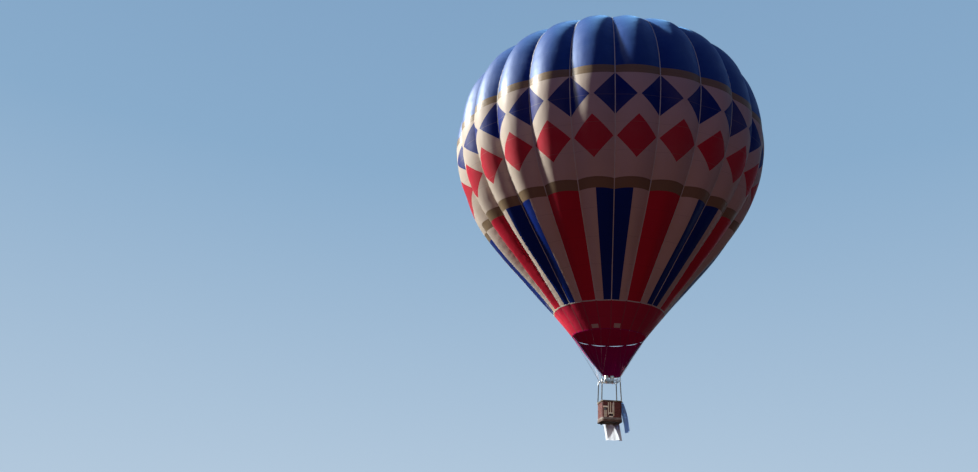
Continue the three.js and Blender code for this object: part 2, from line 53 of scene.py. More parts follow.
# Light and surroundings
LIGHTS = (
    # azimuth, elevation and softness in degrees; whether it lights colours, and whether it is mirrored
    {"name": "key_light", "azimuth": -103, "elevation": 32, "strength": 8.0, "softness": 4,
     "colour": (0.96, 1, 0.93), "lights": True, "shines": True},
    {"name": "key_gleam", "azimuth": -103, "elevation": 32, "strength": 16.0, "softness": 14,
     "colour": (1, 0.97, 0.92), "lights": False, "shines": True},
    {"name": "sky_light", "azimuth": -40, "elevation": 75, "strength": 0.56, "softness": 170,
     "colour": (0.13, 0.28, 1), "lights": True, "shines": False},
    {"name": "low_light", "azimuth": -18, "elevation": -42, "strength": 0.30, "softness": 125,
     "colour": (1, 0.46, 0.25), "lights": True, "shines": False},
)
GLOW = {"height": 4.6, "power": 62.0, "radius": 1.5, "colour": (1, 0.3, 0.95)}
BOUNCES = (
    # soft spots: place and aim in metres, power in watts, cone angle in degrees, radius of the lamp
    {"name": "basket_bounce", "place": (-3.6, -13.4, -2.6), "aim": (0.0, 0.0, -4.5), "power": 2300.0,
     "angle": 21.0, "radius": 1.2, "colour": (1, 0.95, 0.88), "shines": True},
    {"name": "base_bounce", "place": (-10.0, 9.0, -1.6), "aim": (-2.3, 0.1, 0.75), "power": 8500.0,
     "angle": 12.0, "radius": 0.5, "colour": (1, 0.75, 0.25), "shines": False},
)
FLOOR_HEIGHT = -9.2
FLOOR_RADIUS = 900.0
FLOOR_COLOUR = (0.6, 0.61, 0.62)
SKY_STEPS = (
    # place from straight down to straight up, colour
    (0.0, (0.10, 0.10, 0.105)),
    (0.455, (0.10, 0.105, 0.115)),
    (0.482, (0.60, 0.61, 0.62)),
    (0.497, (0.60, 0.62, 0.65)),
    (0.505, (0.45, 0.58, 0.72)),
    (0.72, (0.25, 0.41, 0.60)),
    (1.0, (0.17, 0.30, 0.50)),
)

# Envelope: height and radius of the middle of a gore, from the mouth to the crown.
CREST_PROFILE = (
    (0.0, 1.935), (0.75, 2.545), (1.77, 3.415), (3.14, 4.615), (4.91, 6.155), (6.78, 7.505),
    (8.5, 8.315), (9.99, 8.675), (11.29, 8.775), (12.61, 8.625), (13.96, 8.195), (15.23, 7.335),
    (16.29, 6.005), (17.03, 4.37), (17.54, 2.235), (17.83, 0.0),
)
GORE_COUNT = 24
GORE_ANGLE = 360 / GORE_COUNT
SEAM_AZIMUTH = -7.5
BULGE_RATIO = 0.042
BULGE_FULL_HEIGHT = 4.5
BULGE_FULL_RADIUS = 5.2
CROWN_HEIGHT = 11.48
VENT_RADIUS = 2.4
VALVE_RADIUS = 2.75
CROWN_RING_RADIUS = 0.2
FABRIC = 0.004
SEAM_GAP = 0.001
ROW_SPACING = 0.1
GORE_SEGMENTS = 14
GORE_SPREAD = 0.08
WINDWARD_AZIMUTH = -75
WINDWARD_FULLNESS = 0.22
CROWN_EASE = 0.6
CLOTH_SLIDE = (
    # height, how far the middle of a gore is drawn up the gore past its seams
    (2.0, 0.0), (5.3, 0.17), (6.2, 0.17), (10.6, -0.2), (11.8, -0.2), (15.0, 0.0),
)

rng = np.random.default_rng(11)


def smooth_step(value, low, high):
    t = np.clip((value - low) / (high - low), 0, 1)
    return t * t * (3 - 2 * t)


def turns(count):
    """Even angles once round."""
    return np.arange(count) * 2 * math.pi / count


def circle(radius, count=24):
    angles = turns(count)
    return np.stack([radius * np.cos(angles), radius * np.sin(angles), 0 * angles], 1)


def add_to_scene(name, data):
    obj = bpy.data.objects.new(name, data)
    bpy.context.scene.collection.objects.link(obj)
    return obj


# Meshes from lists of corners and faces
class Pieces:
    """Gathers corners, faces, texture places and material numbers for one object.

    Lap is how far the first texture place runs round a piece that closes on itself.
    """

    def __init__(self, lap=0):
        self.lap = lap
        self.points = []
        self.faces = []
        self.places = []
        self.materials = []
        self.sharp = []
        self.count = 0

    def add(self, points, faces, places=None, material=0, sharp=None):
        points = np.asarray(points, float).reshape(-1, 3)
        places = points[:, :2] if places is None else np.asarray(places, float).reshape(-1, 2)
        sharp = np.zeros(len(points), bool) if sharp is None else np.asarray(sharp, bool).reshape(-1)
        self.points.append(points)
        self.faces.extend([tuple(i + self.count for i in face) for face in faces])
        self.places.append(places)
        self.materials.extend([material] * len(faces))
        self.sharp.append(sharp)
        self.count += len(points)

    def corner_places(self, mesh, places):
        """The texture place of each face corner, moved on by one lap where a face crosses the join."""
        corner = np.empty(len(mesh.loops), np.int32)
        mesh.loops.foreach_get("vertex_index", corner)
        spots = places[corner]
        if self.lap:
            starts = np.empty(len(mesh.polygons), np.int32)
            mesh.polygons.foreach_get("loop_start", starts)
            furthest = np.maximum.reduceat(spots[:, 0], starts)
            furthest = np.repeat(furthest, np.diff(np.append(starts, len(spots))))
            spots[:, 0] += self.lap * (furthest - spots[:, 0] > self.lap / 2)
        return spots

    def sharpen_seams(self, mesh, places):
        """Draws the edges that run along a seam sharp."""
        sharp = np.concatenate(self.sharp)
        if not sharp.any():
            return
        ends = np.empty(len(mesh.edges) * 2, np.int32)
        mesh.edges.foreach_get("vertices", ends)
        ends = ends.reshape(-1, 2)
        along = sharp[ends[:, 0]] & sharp[ends[:, 1]] & (places[ends[:, 0], 0] == places[ends[:, 1], 0])
        creased = np.empty(len(mesh.edges), bool)
        mesh.edges.foreach_get("use_edge_sharp", creased)
        mesh.edges.foreach_set("use_edge_sharp", along | creased)

    def build(self, name, material, slot, *replaces, body="balloon", crease=None):
        """The object. Crease is the angle in degrees from which an edge is drawn sharp."""
        mesh = bpy.data.meshes.new(name)
        mesh.from_pydata(np.concatenate(self.points).tolist(), [], self.faces)
        mesh.validate()
        places = np.concatenate(self.places)
        layer = mesh.uv_layers.new(name="places")
        layer.data.foreach_set("uv", self.corner_places(mesh, places).astype(np.float32).ravel())
        mesh.polygons.foreach_set("use_smooth", [True] * len(mesh.polygons))
        mesh.polygons.foreach_set("material_index", np.array(self.materials, np.int32))
        if crease is not None:
            mesh.set_sharp_from_angle(angle=math.radians(crease))
        self.sharpen_seams(mesh, places)
        mesh.update()
        for item in material if isinstance(material, tuple) else (material,):
            mesh.materials.append(item)
        obj = add_to_scene(name, mesh)
        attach(obj, body)
        if replaces:
            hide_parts(*replaces)
        return obj


def grid_faces(rows, columns, wraps, start=0, flip=False):
    faces = []
    for i in range(rows - 1):
        for j in range(columns if wraps else columns - 1):
            a = start + i * columns + j
            b = start + i * columns + (j + 1) % columns
            face = (a, b, b + columns, a + columns)
            faces.append(face[::-1] if flip else face)
    return faces


def joining_faces(rows, sides):
    """Faces that close a grid's last row on its first."""
    last = (rows - 1) * sides
    return [(last + j, last + (j + 1) % sides, (j + 1) % sides, j) for j in range(sides)]


def add_sheet(pieces, outer, inner, places=None, wraps=False, material=0, sharp=None):
    """A closed sheet between two grids of points. Rows run up and columns run right, seen from outside."""
    rows, columns = outer.shape[:2]
    size = rows * columns
    faces = grid_faces(rows, columns, wraps) + grid_faces(rows, columns, wraps, size, True)
    last = (rows - 1) * columns
    for j in range(columns if wraps else columns - 1):
        k = (j + 1) % columns
        faces.append((size + j, size + k, k, j))
        faces.append((last + j, last + k, size + last + k, size + last + j))
    if not wraps:
        for a in range(0, last, columns):
            b = a + columns
            faces.append((a, b, size + b, size + a))
            faces.append((b - 1, size + b - 1, size + b - 1 + columns, b - 1 + columns))
    points = np.concatenate([outer.reshape(-1, 3), inner.reshape(-1, 3)])
    double = None if places is None else np.concatenate([places.reshape(-1, 2)] * 2)
    marks = None if sharp is None else np.concatenate([sharp.reshape(-1)] * 2)
    pieces.add(points, faces, double, material, marks)


def add_tube(pieces, path, radius, sides=8, closed=False):
    """A round tube along a path. The radius may be one number or one for each point."""
    path = np.asarray(path, float)
    count = len(path)
    radii = np.broadcast_to(np.asarray(radius, float), (count,))
    if closed:
        tangents = np.roll(path, -1, 0) - np.roll(path, 1, 0)
    else:
        tangents = np.gradient(path, axis=0)
    tangents /= np.linalg.norm(tangents, axis=1, keepdims=True)
    normal = np.cross(tangents[0], [0.0, 0.0, 1.0])
    if np.linalg.norm(normal) < 0.1:
        normal = np.cross(tangents[0], [1.0, 0.0, 0.0])
    angles = turns(sides)
    rings = []
    places = []
    along = 0.0
    for i in range(count):
        normal = normal - tangents[i] * np.dot(normal, tangents[i])
        normal /= np.linalg.norm(normal)
        side = np.cross(tangents[i], normal)
        if i:
            along += np.linalg.norm(path[i] - path[i - 1])
        ring = np.outer(np.cos(angles), normal) + np.outer(np.sin(angles), side)
        rings.append(path[i] + ring * radii[i])
        places.append(np.stack([angles / (2 * math.pi), np.full(sides, along)], 1))
    faces = grid_faces(count, sides, True)
    if closed:
        faces += joining_faces(count, sides)
    else:
        faces.append(tuple(range(sides))[::-1])
        faces.append(tuple(range((count - 1) * sides, count * sides)))
    pieces.add(np.concatenate(rings), faces, np.concatenate(places))


def add_lathe(pieces, outline, centre=(0, 0, 0), segments=32, axis=(0, 0, 1)):
    """A piece turned from (radius, height) pairs, closed on itself or by its two ends on the axis."""
    outline = np.asarray(outline, float)
    axis = np.asarray(axis, float) / np.linalg.norm(axis)
    side = np.cross(axis, (1.0, 0.0, 0.0) if abs(axis[2]) > 0.9 else (0.0, 0.0, 1.0))
    side /= np.linalg.norm(side)
    other = np.cross(axis, side)
    angles = turns(segments)
    spread = np.outer(np.cos(angles), side) + np.outer(np.sin(angles), other)
    rings = [np.asarray(centre) + spread * r + axis * z for r, z in outline]
    places = [np.stack([angles, np.full(segments, z)], 1) for r, z in outline]
    faces = grid_faces(len(outline), segments, True)
    if outline[0][0] > 1e-6 or outline[-1][0] > 1e-6:
        faces += joining_faces(len(outline), segments)
    pieces.add(np.concatenate(rings), faces, np.concatenate(places))


def disc_outline(radius, height):
    return (0, 0), (radius, 0), (radius, height), (0, height)


def add_block(pieces, centre, size, bevel):
    """A box with bevelled edges."""
    shape = bmesh.new()
    bmesh.ops.create_cube(shape, size=1)
    bmesh.ops.scale(shape, vec=size, verts=shape.verts)
    bmesh.ops.bevel(shape, geom=shape.edges[:], offset=bevel, segments=2, profile=0.5, affect="EDGES")
    shape.verts.index_update()
    points = np.array([vert.co[:] for vert in shape.verts]) + np.asarray(centre)
    faces = [tuple(vert.index for vert in face.verts) for face in shape.faces]
    pieces.add(points, faces)
    shape.free()


# Camera
def place_camera():
    azimuth = math.radians(CAMERA_AZIMUTH)
    turn = CAMERA_YAW + azimuth
    right = Vector((math.cos(turn), math.sin(turn), 0))
    level = Vector((-math.sin(turn), math.cos(turn), 0))
    up = Vector((0, 0, 1))
    forward = level * math.cos(CAMERA_PITCH) + up * math.sin(CAMERA_PITCH)
    raised = up * math.cos(CAMERA_PITCH) - level * math.sin(CAMERA_PITCH)
    across = right * math.cos(CAMERA_ROLL) + raised * math.sin(CAMERA_ROLL)
    above = raised * math.cos(CAMERA_ROLL) - right * math.sin(CAMERA_ROLL)
    data = bpy.data.cameras.new("camera")
    data.sensor_width = SENSOR_WIDTH
    data.lens = FOCAL_PIXELS * SENSOR_WIDTH / PICTURE_WIDTH
    data.clip_end = CAMERA_REACH
    camera = add_to_scene("camera", data)
    place = CAMERA_DISTANCE * Vector((math.sin(azimuth), -math.cos(azimuth), 0)) + CAMERA_HEIGHT * up
    turned = Matrix((across, above, -forward)).transposed().to_4x4()
    camera.matrix_world = Matrix.Translation(place) @ turned
    bpy.context.scene.camera = camera


# Light, sky and floor
def add_lamp(name, kind, power, colour, shines):
    data = bpy.data.lights.new(name, kind)
    data.energy = power
    data.color = colour
    lamp = add_to_scene(name, data)
    lamp.rotation_mode = "QUATERNION"
    lamp.visible_glossy = shines
    return lamp


def place_light(light):
    azimuth = math.radians(light["azimuth"])
    elevation = math.radians(light["elevation"])
    to_light = Vector((
        math.sin(azimuth) * math.cos(elevation),
        -math.cos(azimuth) * math.cos(elevation),
        math.sin(elevation),
    ))
    lamp = add_lamp(light["name"], "SUN", light["strength"], light["colour"], light["shines"])
    lamp.data.angle = math.radians(light["softness"])
    lamp.rotation_quaternion = to_light.to_track_quat("Z", "Y")
    lamp.visible_diffuse = light["lights"]


def place_glow():
    """Daylight that comes through the fabric, as one soft lamp inside the envelope."""
    lamp = add_lamp("inner_glow", "POINT", GLOW["power"], GLOW["colour"], False)
    lamp.data.shadow_soft_size = GLOW["radius"]
    lamp.location.z = GLOW["height"]
    lamp.visible_camera = False


def place_bounce(bounce):
    """The light that bright ground throws back, as one soft spot."""
    lamp = add_lamp(bounce["name"], "SPOT", bounce["power"], bounce["colour"], bounce["shines"])
    lamp.data.spot_size = math.radians(bounce["angle"])
    lamp.data.spot_blend = 1.0
    lamp.data.shadow_soft_size = bounce["radius"]
    lamp.location = bounce["place"]
    lamp.rotation_quaternion = (lamp.location - Vector(bounce["aim"])).to_track_quat("Z", "Y")
    lamp.visible_camera = False


def make_sky():
    """The colours of SKY_STEPS by height. The world is mirrored and seen, and lights no colours."""
    world = bpy.data.worlds.new("soft_sky")
    bpy.context.scene.world = world
    world.use_nodes = True
    tree = world.node_tree
    tree.nodes.clear()
    output = tree.nodes.new("ShaderNodeOutputWorld")
    background = tree.nodes.new("ShaderNodeBackground")
    place = tree.nodes.new("ShaderNodeTexCoord")
    split = tree.nodes.new("ShaderNodeSeparateXYZ")
    level = tree.nodes.new("ShaderNodeMapRange")
    ramp = tree.nodes.new("ShaderNodeValToRGB")
    level.inputs["From Min"].default_value = -1
    while len(ramp.color_ramp.elements) < len(SKY_STEPS):
        ramp.color_ramp.elements.new(0.5)
    for element, (position, colour) in zip(ramp.color_ramp.elements, SKY_STEPS):
        element.position = position
        element.color = (*colour, 1)
    tree.links.new(place.outputs["Generated"], split.inputs[0])
    tree.links.new(split.outputs["Z"], level.inputs["Value"])
    tree.links.new(level.outputs["Result"], ramp.inputs["Fac"])
    tree.links.new(ramp.outputs["Color"], background.inputs["Color"])
    tree.links.new(background.outputs["Background"], output.inputs["Surface"])
    world.cycles_visibility.diffuse = False


def make_floor():
    mesh = bpy.data.meshes.new("floor")
    shape = bmesh.new()
    bmesh.ops.create_circle(shape, cap_ends=True, segments=96, radius=FLOOR_RADIUS)
    shape.to_mesh(mesh)
    shape.free()
    floor = add_to_scene("floor", mesh)
    floor.location.z = FLOOR_HEIGHT
    material = bpy.data.materials.new("pale_floor")
    material.use_nodes = True
    surface = material.node_tree.nodes["Principled BSDF"]
    surface.inputs["Base Color"].default_value = (*FLOOR_COLOUR, 1)
    surface.inputs["Roughness"].default_value = 0.8
    surface.inputs["Specular IOR Level"].default_value = 0.0
    mesh.materials.append(material)
    floor.visible_diffuse = False
    floor.visible_glossy = False
    floor.visible_shadow = False


bpy.context.scene.view_settings.view_transform = "Standard"
place_camera()
for light in LIGHTS:
    place_light(light)
place_glow()
for bounce in BOUNCES:
    place_bounce(bounce)
make_sky()
make_floor()


# Materials
class Nodes:
    """Shorthand for building one material's nodes."""

    def __init__(self, name, colour, roughness, metallic=0.0):
        self.material = bpy.data.materials.new(name)
        self.material.use_nodes = True
        self.tree = self.material.node_tree
        self.surface = self.tree.nodes["Principled BSDF"]
        self.set({"Base Color": (*colour, 1), "Roughness": roughness, "Metallic": metallic})
        self.coordinates = self.node("TexCoord").outputs

    def node(self, kind, **settings):
        node = self.tree.nodes.new("ShaderNode" + kind)
        for name, value in settings.items():
            setattr(node, name, value)
        return node

    def link(self, source, target):
        self.tree.links.new(source, target)

    def set(self, values):
        for name, value in values.items():
            self.surface.inputs[name].default_value = value

    def scaled(self, scale):
        mapping = self.node("Mapping")
        self.link(self.coordinates["Object"], mapping.inputs["Vector"])
        mapping.inputs["Scale"].default_value = scale
        return mapping.outputs["Vector"]

    def texture(self, kind, vector, values, **settings):
        node = self.node(kind, **settings)
        self.link(vector, node.inputs["Vector"])
        for name, value in values.items():
            node.inputs[name].default_value = value
        return node.outputs

    def noise(self, scale, detail, stretch=(1, 1, 1)):
        return self.texture("TexNoise", self.scaled(stretch), {"Scale": scale, "Detail": detail})["Fac"]

    def math(self, operation, first, second=None):
        node = self.node("Math", operation=operation)
        for socket, value in zip(node.inputs, (first, second)):
            if isinstance(value, (int, float)):
                socket.default_value = value
            elif value is not None:
                self.link(value, socket)
        return node.outputs["Value"]

    def away(self, value, middle):
        return self.math("ABSOLUTE", self.math("SUBTRACT", value, middle))

    def range(self, value, low, high, to_low=0.0, to_high=1.0):
        node = self.node("MapRange")
        self.link(value, node.inputs["Value"])
        node.inputs["From Min"].default_value = low
        node.inputs["From Max"].default_value = high
        node.inputs["To Min"].default_value = to_low
        node.inputs["To Max"].default_value = to_high
        return node.outputs["Result"]

    def mix(self, amount, first, second):
        node = self.node("Mix", data_type="RGBA")
        self.link(amount, node.inputs[0])
        for socket, value in ((node.inputs[6], first), (node.inputs[7], second)):
            if isinstance(value, tuple):
                socket.default_value = (*value, 1)
            else:
                self.link(value, socket)
        return node.outputs[2]

    def blend(self, amount, share, first, second):
        """The second colour over the first where amount is high, at most by this share."""
        return self.mix(self.math("MULTIPLY", amount, share), first, second)

    def colour(self, value):
        self.link(value, self.surface.inputs["Base Color"])

    def roughness(self, value):
        self.link(value, self.surface.inputs["Roughness"])

    def bump(self, height, strength, distance):
        """Height in metres of relief, laid over any bump that is there."""
        node = self.node("Bump")
        node.inputs["Strength"].default_value = strength
        node.inputs["Distance"].default_value = distance
        self.link(height, node.inputs["Height"])
        if self.surface.inputs["Normal"].is_linked:
            self.link(self.surface.inputs["Normal"].links[0].from_socket, node.inputs["Normal"])
        self.link(node.outputs["Normal"], self.surface.inputs["Normal"])


def shade(colour, factor):
    return tuple(min(1.0, channel * factor) for channel in colour)


PANEL_HEIGHT = 1.42
SEAM_SHARE = 0.009
RIPSTOP = 0.006
SHEEN_TINT = (0.22, 0.52, 1, 1)
WHITE = (1, 1, 1, 1)
DIAMONDS = (
    # colour, middle in metres along the gore, half height, half width in gores, first place in gores
    {"colour": "navy", "middle": 12.15, "half": 1.12, "width": 0.46, "start": 0.5},
    {"colour": "red", "middle": 9.95, "half": 1.12, "width": 0.46, "start": 0.0},
)
DYES = {
    "navy": (0.003, 0.019, 0.18),
    "red": (0.54, 0.014, 0.038),
    "cream": (0.60, 0.49, 0.41),
    "tan": (0.25, 0.17, 0.10),
    "base_red": (0.50, 0.022, 0.065),
    "maroon": (0.42, 0.007, 0.115),
    "tape": (0.58, 0.55, 0.50),
    "red_tape": (0.33, 0.02, 0.04),
}


def add_diamonds(nodes, across, along, colour):
    """Rows of diamonds over a colour, one to a gore."""
    for row in DIAMONDS:
        place = nodes.math("FRACT", nodes.math("ADD", across, row["start"]))
        side = nodes.math("DIVIDE", nodes.away(place, 0.5), row["width"])
        rise = nodes.math("DIVIDE", nodes.away(along, row["middle"]), row["half"])
        inside = nodes.math("LESS_THAN", nodes.math("ADD", side, rise), 1.0)
        colour = nodes.mix(inside, colour, DYES[row["colour"]])
    return colour


def fabric_material(name, dye, diamonds=False, sheen=0.0, shine=0.06, gloss=0.42, tint=WHITE):
    """Coated nylon: sewn panels, a ripstop grid, soft creases and slight fading.

    Its texture places are gores across and metres along.
    """
    dye = DYES[dye]
    nodes = Nodes(name, dye, gloss)
    split = nodes.node("SeparateXYZ")
    nodes.link(nodes.coordinates["UV"], split.inputs[0])
    across, along, _ = split.outputs
    colour = add_diamonds(nodes, across, along, dye) if diamonds else dye
    faded = nodes.blend(nodes.range(nodes.noise(0.45, 4), 0.35, 0.7), 0.16, colour, shade(dye, 0.55))
    panel = nodes.math("FRACT", nodes.math("DIVIDE", along, PANEL_HEIGHT))
    seam = nodes.math("LESS_THAN", nodes.away(panel, 0.5), SEAM_SHARE)
    nodes.colour(nodes.blend(seam, 0.3, faded, shade(dye, 0.5)))
    nodes.roughness(nodes.range(nodes.noise(1.3, 3), 0.3, 0.75, gloss - 0.06, gloss + 0.1))
    nodes.bump(nodes.noise(1.1, 4, (1, 1, 0.45)), 0.3, 0.12)
    threads = {"Scale": 1.0, "Brick Width": RIPSTOP, "Row Height": RIPSTOP, "Mortar Size": RIPSTOP * 0.08}
    grid = nodes.texture("TexBrick", nodes.scaled((1, 1, 1)), threads, offset=0.0)
    nodes.bump(grid["Fac"], 0.12, 0.0004)
    nodes.bump(seam, 0.4, 0.004)
    nodes.set({"Specular IOR Level": shine, "Specular Tint": tint})
    nodes.set({"Sheen Weight": sheen, "Sheen Roughness": 0.45, "Sheen Tint": SHEEN_TINT})
    return nodes.material


def tape_material(name, dye):
    """Woven webbing with a twill across it and light soiling."""
    dye = DYES[dye]
    nodes = Nodes(name, dye, 0.7)
    dirt = nodes.range(nodes.noise(2.5, 4), 0.4, 0.75)
    nodes.colour(nodes.blend(dirt, 0.35, dye, shade(dye, 0.6)))
    twill = nodes.texture("TexWave", nodes.coordinates["Object"], {"Scale": 120}, bands_direction="DIAGONAL")
    nodes.bump(twill["Fac"], 0.3, 0.0008)
    return nodes.material


def metal_material(name, colour, roughness, grain=(1, 1, 1), wear=0.25, heat=None):
    """Bare metal with a drawn grain, smudges and, near a flame, heat colours."""
    nodes = Nodes(name, colour, roughness, 1.0)
    smudge = nodes.range(nodes.noise(9, 4), 0.35, 0.7)
    base = nodes.blend(smudge, wear, colour, shade(colour, 0.45))
    if heat:
        base = nodes.blend(nodes.range(nodes.noise(5, 2, (1, 1, 2.5)), 0.42, 0.66), 0.7, base, heat)
    nodes.colour(base)
    nodes.roughness(nodes.range(nodes.noise(40, 3, grain), 0.3, 0.7, roughness - 0.08, roughness + 0.14))
    nodes.bump(nodes.noise(220, 2, grain), 0.08, 0.0005)
    return nodes.material


def leather_material(name, colour, roughness=0.62, scale=90):
    """Hide with fine cells, broad pale scuffs and soft creases."""
    nodes = Nodes(name, colour, roughness)
    cells = nodes.texture(
        "TexVoronoi", nodes.coordinates["Object"], {"Scale": scale}, feature="DISTANCE_TO_EDGE")
    scuff = nodes.range(nodes.noise(6, 5), 0.42, 0.72)
    nodes.colour(nodes.blend(scuff, 0.55, colour, shade(colour, 2.2)))
    nodes.roughness(nodes.range(scuff, 0, 1, roughness - 0.1, roughness + 0.15))
    nodes.bump(nodes.range(cells["Distance"], 0, 0.12), 0.25, 0.0008)
    nodes.bump(nodes.noise(14, 3), 0.2, 0.004)
    nodes.set({"Specular IOR Level": 0.22})
    return nodes.material


def wood_material(name, colour):
    """Timber with long grain along Y and dirt."""
    nodes = Nodes(name, colour, 0.6)
    grain = nodes.noise(55, 5, (1, 0.06, 1))
    dirt = nodes.range(nodes.noise(3, 4), 0.45, 0.75)
    base = nodes.mix(nodes.range(grain, 0.35, 0.65), shade(colour, 0.62), shade(colour, 1.12))
    nodes.colour(nodes.blend(dirt, 0.5, base, shade(colour, 0.35)))
    nodes.roughness(nodes.range(grain, 0.3, 0.7, 0.5, 0.72))
    nodes.bump(grain, 0.25, 0.001)
    nodes.set({"Specular IOR Level": 0.05})
    return nodes.material


def wicker_material(name, colour):
    """Varnished willow: each cane a little different, with fibres along it."""
    nodes = Nodes(name, colour, 0.5)
    canes = nodes.noise(7, 3, (1, 1, 9))
    fibre = nodes.noise(160, 3, (0.15, 0.15, 1))
    base = nodes.mix(nodes.range(canes, 0.34, 0.66), shade(colour, 0.45), shade(colour, 1.7))
    nodes.colour(nodes.mix(nodes.range(fibre, 0.4, 0.7, 0, 0.35), base, shade(colour, 0.4)))
    nodes.roughness(nodes.range(canes, 0.3, 0.7, 0.42, 0.62))
    nodes.bump(fibre, 0.3, 0.0008)
    nodes.set({"Specular IOR Level": 0.2})
    return nodes.material


def plain_material(name, colour, roughness, scale=30, wear=0.2, strength=0.15):
    """Paint, webbing or thread with faint wear and a fine surface."""
    nodes = Nodes(name, colour, roughness)
    spots = nodes.range(nodes.noise(scale, 4), 0.45, 0.75)
    nodes.colour(nodes.blend(spots, wear, colour, shade(colour, 0.5)))
    nodes.roughness(nodes.range(spots, 0, 1, roughness, min(1.0, roughness + 0.2)))
    nodes.bump(nodes.noise(scale * 12, 2), strength, 0.0006)
    return nodes.material


def cloth_material(name, colour, roughness=0.85, through=0.0):
    """Thin woven cloth with creases and stains. Through is the share of light that passes an open weave."""
    nodes = Nodes(name, colour, roughness)
    stain = nodes.range(nodes.noise(4, 4), 0.5, 0.8)
    nodes.colour(nodes.blend(stain, 0.2, colour, shade(colour, 0.7)))
    nodes.bump(nodes.noise(9, 4, (1, 1, 0.4)), 0.35, 0.02)
    nodes.bump(nodes.noise(700, 1), 0.15, 0.0004)
    nodes.set({"Transmission Weight": through, "IOR": 1.35, "Sheen Weight": 0.2})
    return nodes.material


navy_fabric = fabric_material("navy_fabric", "navy")
crown_fabric = fabric_material("crown_fabric", "navy", sheen=0.6, shine=0.22, gloss=0.55, tint=SHEEN_TINT)
red_fabric = fabric_material("red_fabric", "red")
cream_fabric = fabric_material("cream_fabric", "cream")
body_fabric = fabric_material("body_fabric", "cream", diamonds=True, shine=0.03, gloss=0.5)
tan_fabric = fabric_material("tan_fabric", "tan")
base_fabric = fabric_material("base_fabric", "base_red")
maroon_fabric = fabric_material("maroon_fabric", "maroon")
load_tape = tape_material("load_tape", "tape")
navy_tape = tape_material("navy_tape", "navy")
red_tape = tape_material("red_tape", "red_tape")
wire_steel = metal_material("wire_steel", (0.08, 0.06, 0.06), 0.5, (1, 1, 0.1))
frame_steel = metal_material("frame_steel", (0.46, 0.46, 0.47), 0.36, (1, 0.1, 1))
bolt_steel = metal_material("bolt_steel", (0.7, 0.69, 0.66), 0.28)
burner_steel = metal_material("burner_steel", (0.6, 0.58, 0.55), 0.3, (1, 1, 0.1), 0.3, (0.35, 0.22, 0.09))
coil_steel = metal_material("coil_steel", (0.24, 0.2, 0.19), 0.42, (1, 1, 1), 0.4, (0.1, 0.09, 0.2))
brass = metal_material("brass", (0.66, 0.45, 0.17), 0.3)
# painted shade: this aluminium is darker and duller than bare aluminium, so the cylinders seen through the
# step holes read as the shaded inside of the basket; its smudges are real wear
shade_darkened_aluminium = metal_material("shade_darkened_aluminium", (0.24, 0.245, 0.25), 0.46, (1, 1, 0.15), 0.5)
cover_leather = leather_material("cover_leather", (0.035, 0.022, 0.017))
rim_leather = leather_material("rim_leather", (0.05, 0.026, 0.018))
skirt_leather = leather_material("skirt_leather", (0.07, 0.035, 0.022))
pale_leather = leather_material("pale_leather", (0.80, 0.66, 0.43), 0.6, 70)
belt_leather = leather_material("belt_leather", (0.16, 0.125, 0.105), 0.6, 80)
wicker = wicker_material("wicker", (0.15, 0.036, 0.030))
inner_wicker = wicker_material("inner_wicker", (0.11, 0.036, 0.027))
# painted shade: the floor's plywood is much darker than bare plywood, so the basket's underside reads as
# shaded; its grain and dirt are real
plywood = wood_material("plywood", (0.11, 0.075, 0.05))
runner_wood = wood_material("runner_wood", (0.10, 0.065, 0.045))
red_enamel = plain_material("red_enamel", (0.45, 0.02, 0.015), 0.35, 25)
blank_dial = plain_material("blank_dial", (0.8, 0.8, 0.78), 0.3, 20, 0.1, 0.05)
black_webbing = plain_material("black_webbing", (0.02, 0.02, 0.022), 0.75, 60)
white_line = plain_material("white_line", (0.62, 0.6, 0.56), 0.7, 60)
white_cloth = cloth_material("white_cloth", (0.62, 0.65, 0.72))
# painted sky light: the side cloth is a white cloth given a blue colour that stands in for blue sky light on
# its shaded face; the light it lets through its open weave is real transmission
sky_tinted_cloth = cloth_material("sky_tinted_cloth", (0.30, 0.52, 0.82), 1.0, 0.5)


# Envelope surface: each pair of heights or radii is where a change begins and where it is full.
SAMPLES_PER_SPAN = 300
EASE_HEIGHTS = (13.8, 16.8)
CALM_HEIGHTS = (0, 0.5)
CALM_RADII = (VALVE_RADIUS, 4.2)
GATHER_DEPTH = 0.006
GATHER_REACH = 0.24
GATHER_LENGTH = 0.43
FOLD_DEPTH = 0.026
FOLD_HEIGHTS = (4.6, 6.6)
PULL_DEPTH = 0.03
PULL_HEIGHTS = (14.5, 16.8)
DENT_DEPTH = 0.022
TILT_DEPTH = 0.012


def profile_samples():
    """Points of a smooth curve through the profile, as radius and height."""
    points = np.array([(radius, height) for height, radius in CREST_PROFILE])
    last = len(points) - 1
    curve = []
    for i in range(last):
        before, start, end, after = (points[k] for k in (max(i - 1, 0), i, i + 1, min(i + 2, last)))
        t = np.linspace(0, 1, SAMPLES_PER_SPAN, endpoint=i == last - 1)[:, None]
        leave = (end - before) / 2
        arrive = (after - start) / 2
        curve.append(
            (2 * start - 2 * end + leave + arrive) * t**3
            + (3 * end - 3 * start - 2 * leave - arrive) * t**2
            + leave * t
            + start
        )
    return np.concatenate(curve)


PROFILE = profile_samples()
ARC = np.concatenate([[0], np.cumsum(np.linalg.norm(np.diff(PROFILE, axis=0), axis=1))])
PROFILE_LENGTH = ARC[-1]
TANGENTS = np.gradient(PROFILE, ARC, axis=0)
TANGENTS /= np.linalg.norm(TANGENTS, axis=1, keepdims=True)


def radius_at(arc):
    return np.interp(arc, ARC, PROFILE[:, 0])


def arc_at_height(height):
    return float(np.interp(height, PROFILE[:, 1], ARC))


def arc_at_crown_radius(radius):
    crown = PROFILE[:, 1] > CROWN_HEIGHT
    return float(np.interp(-radius, -PROFILE[crown, 0], ARC[crown]))


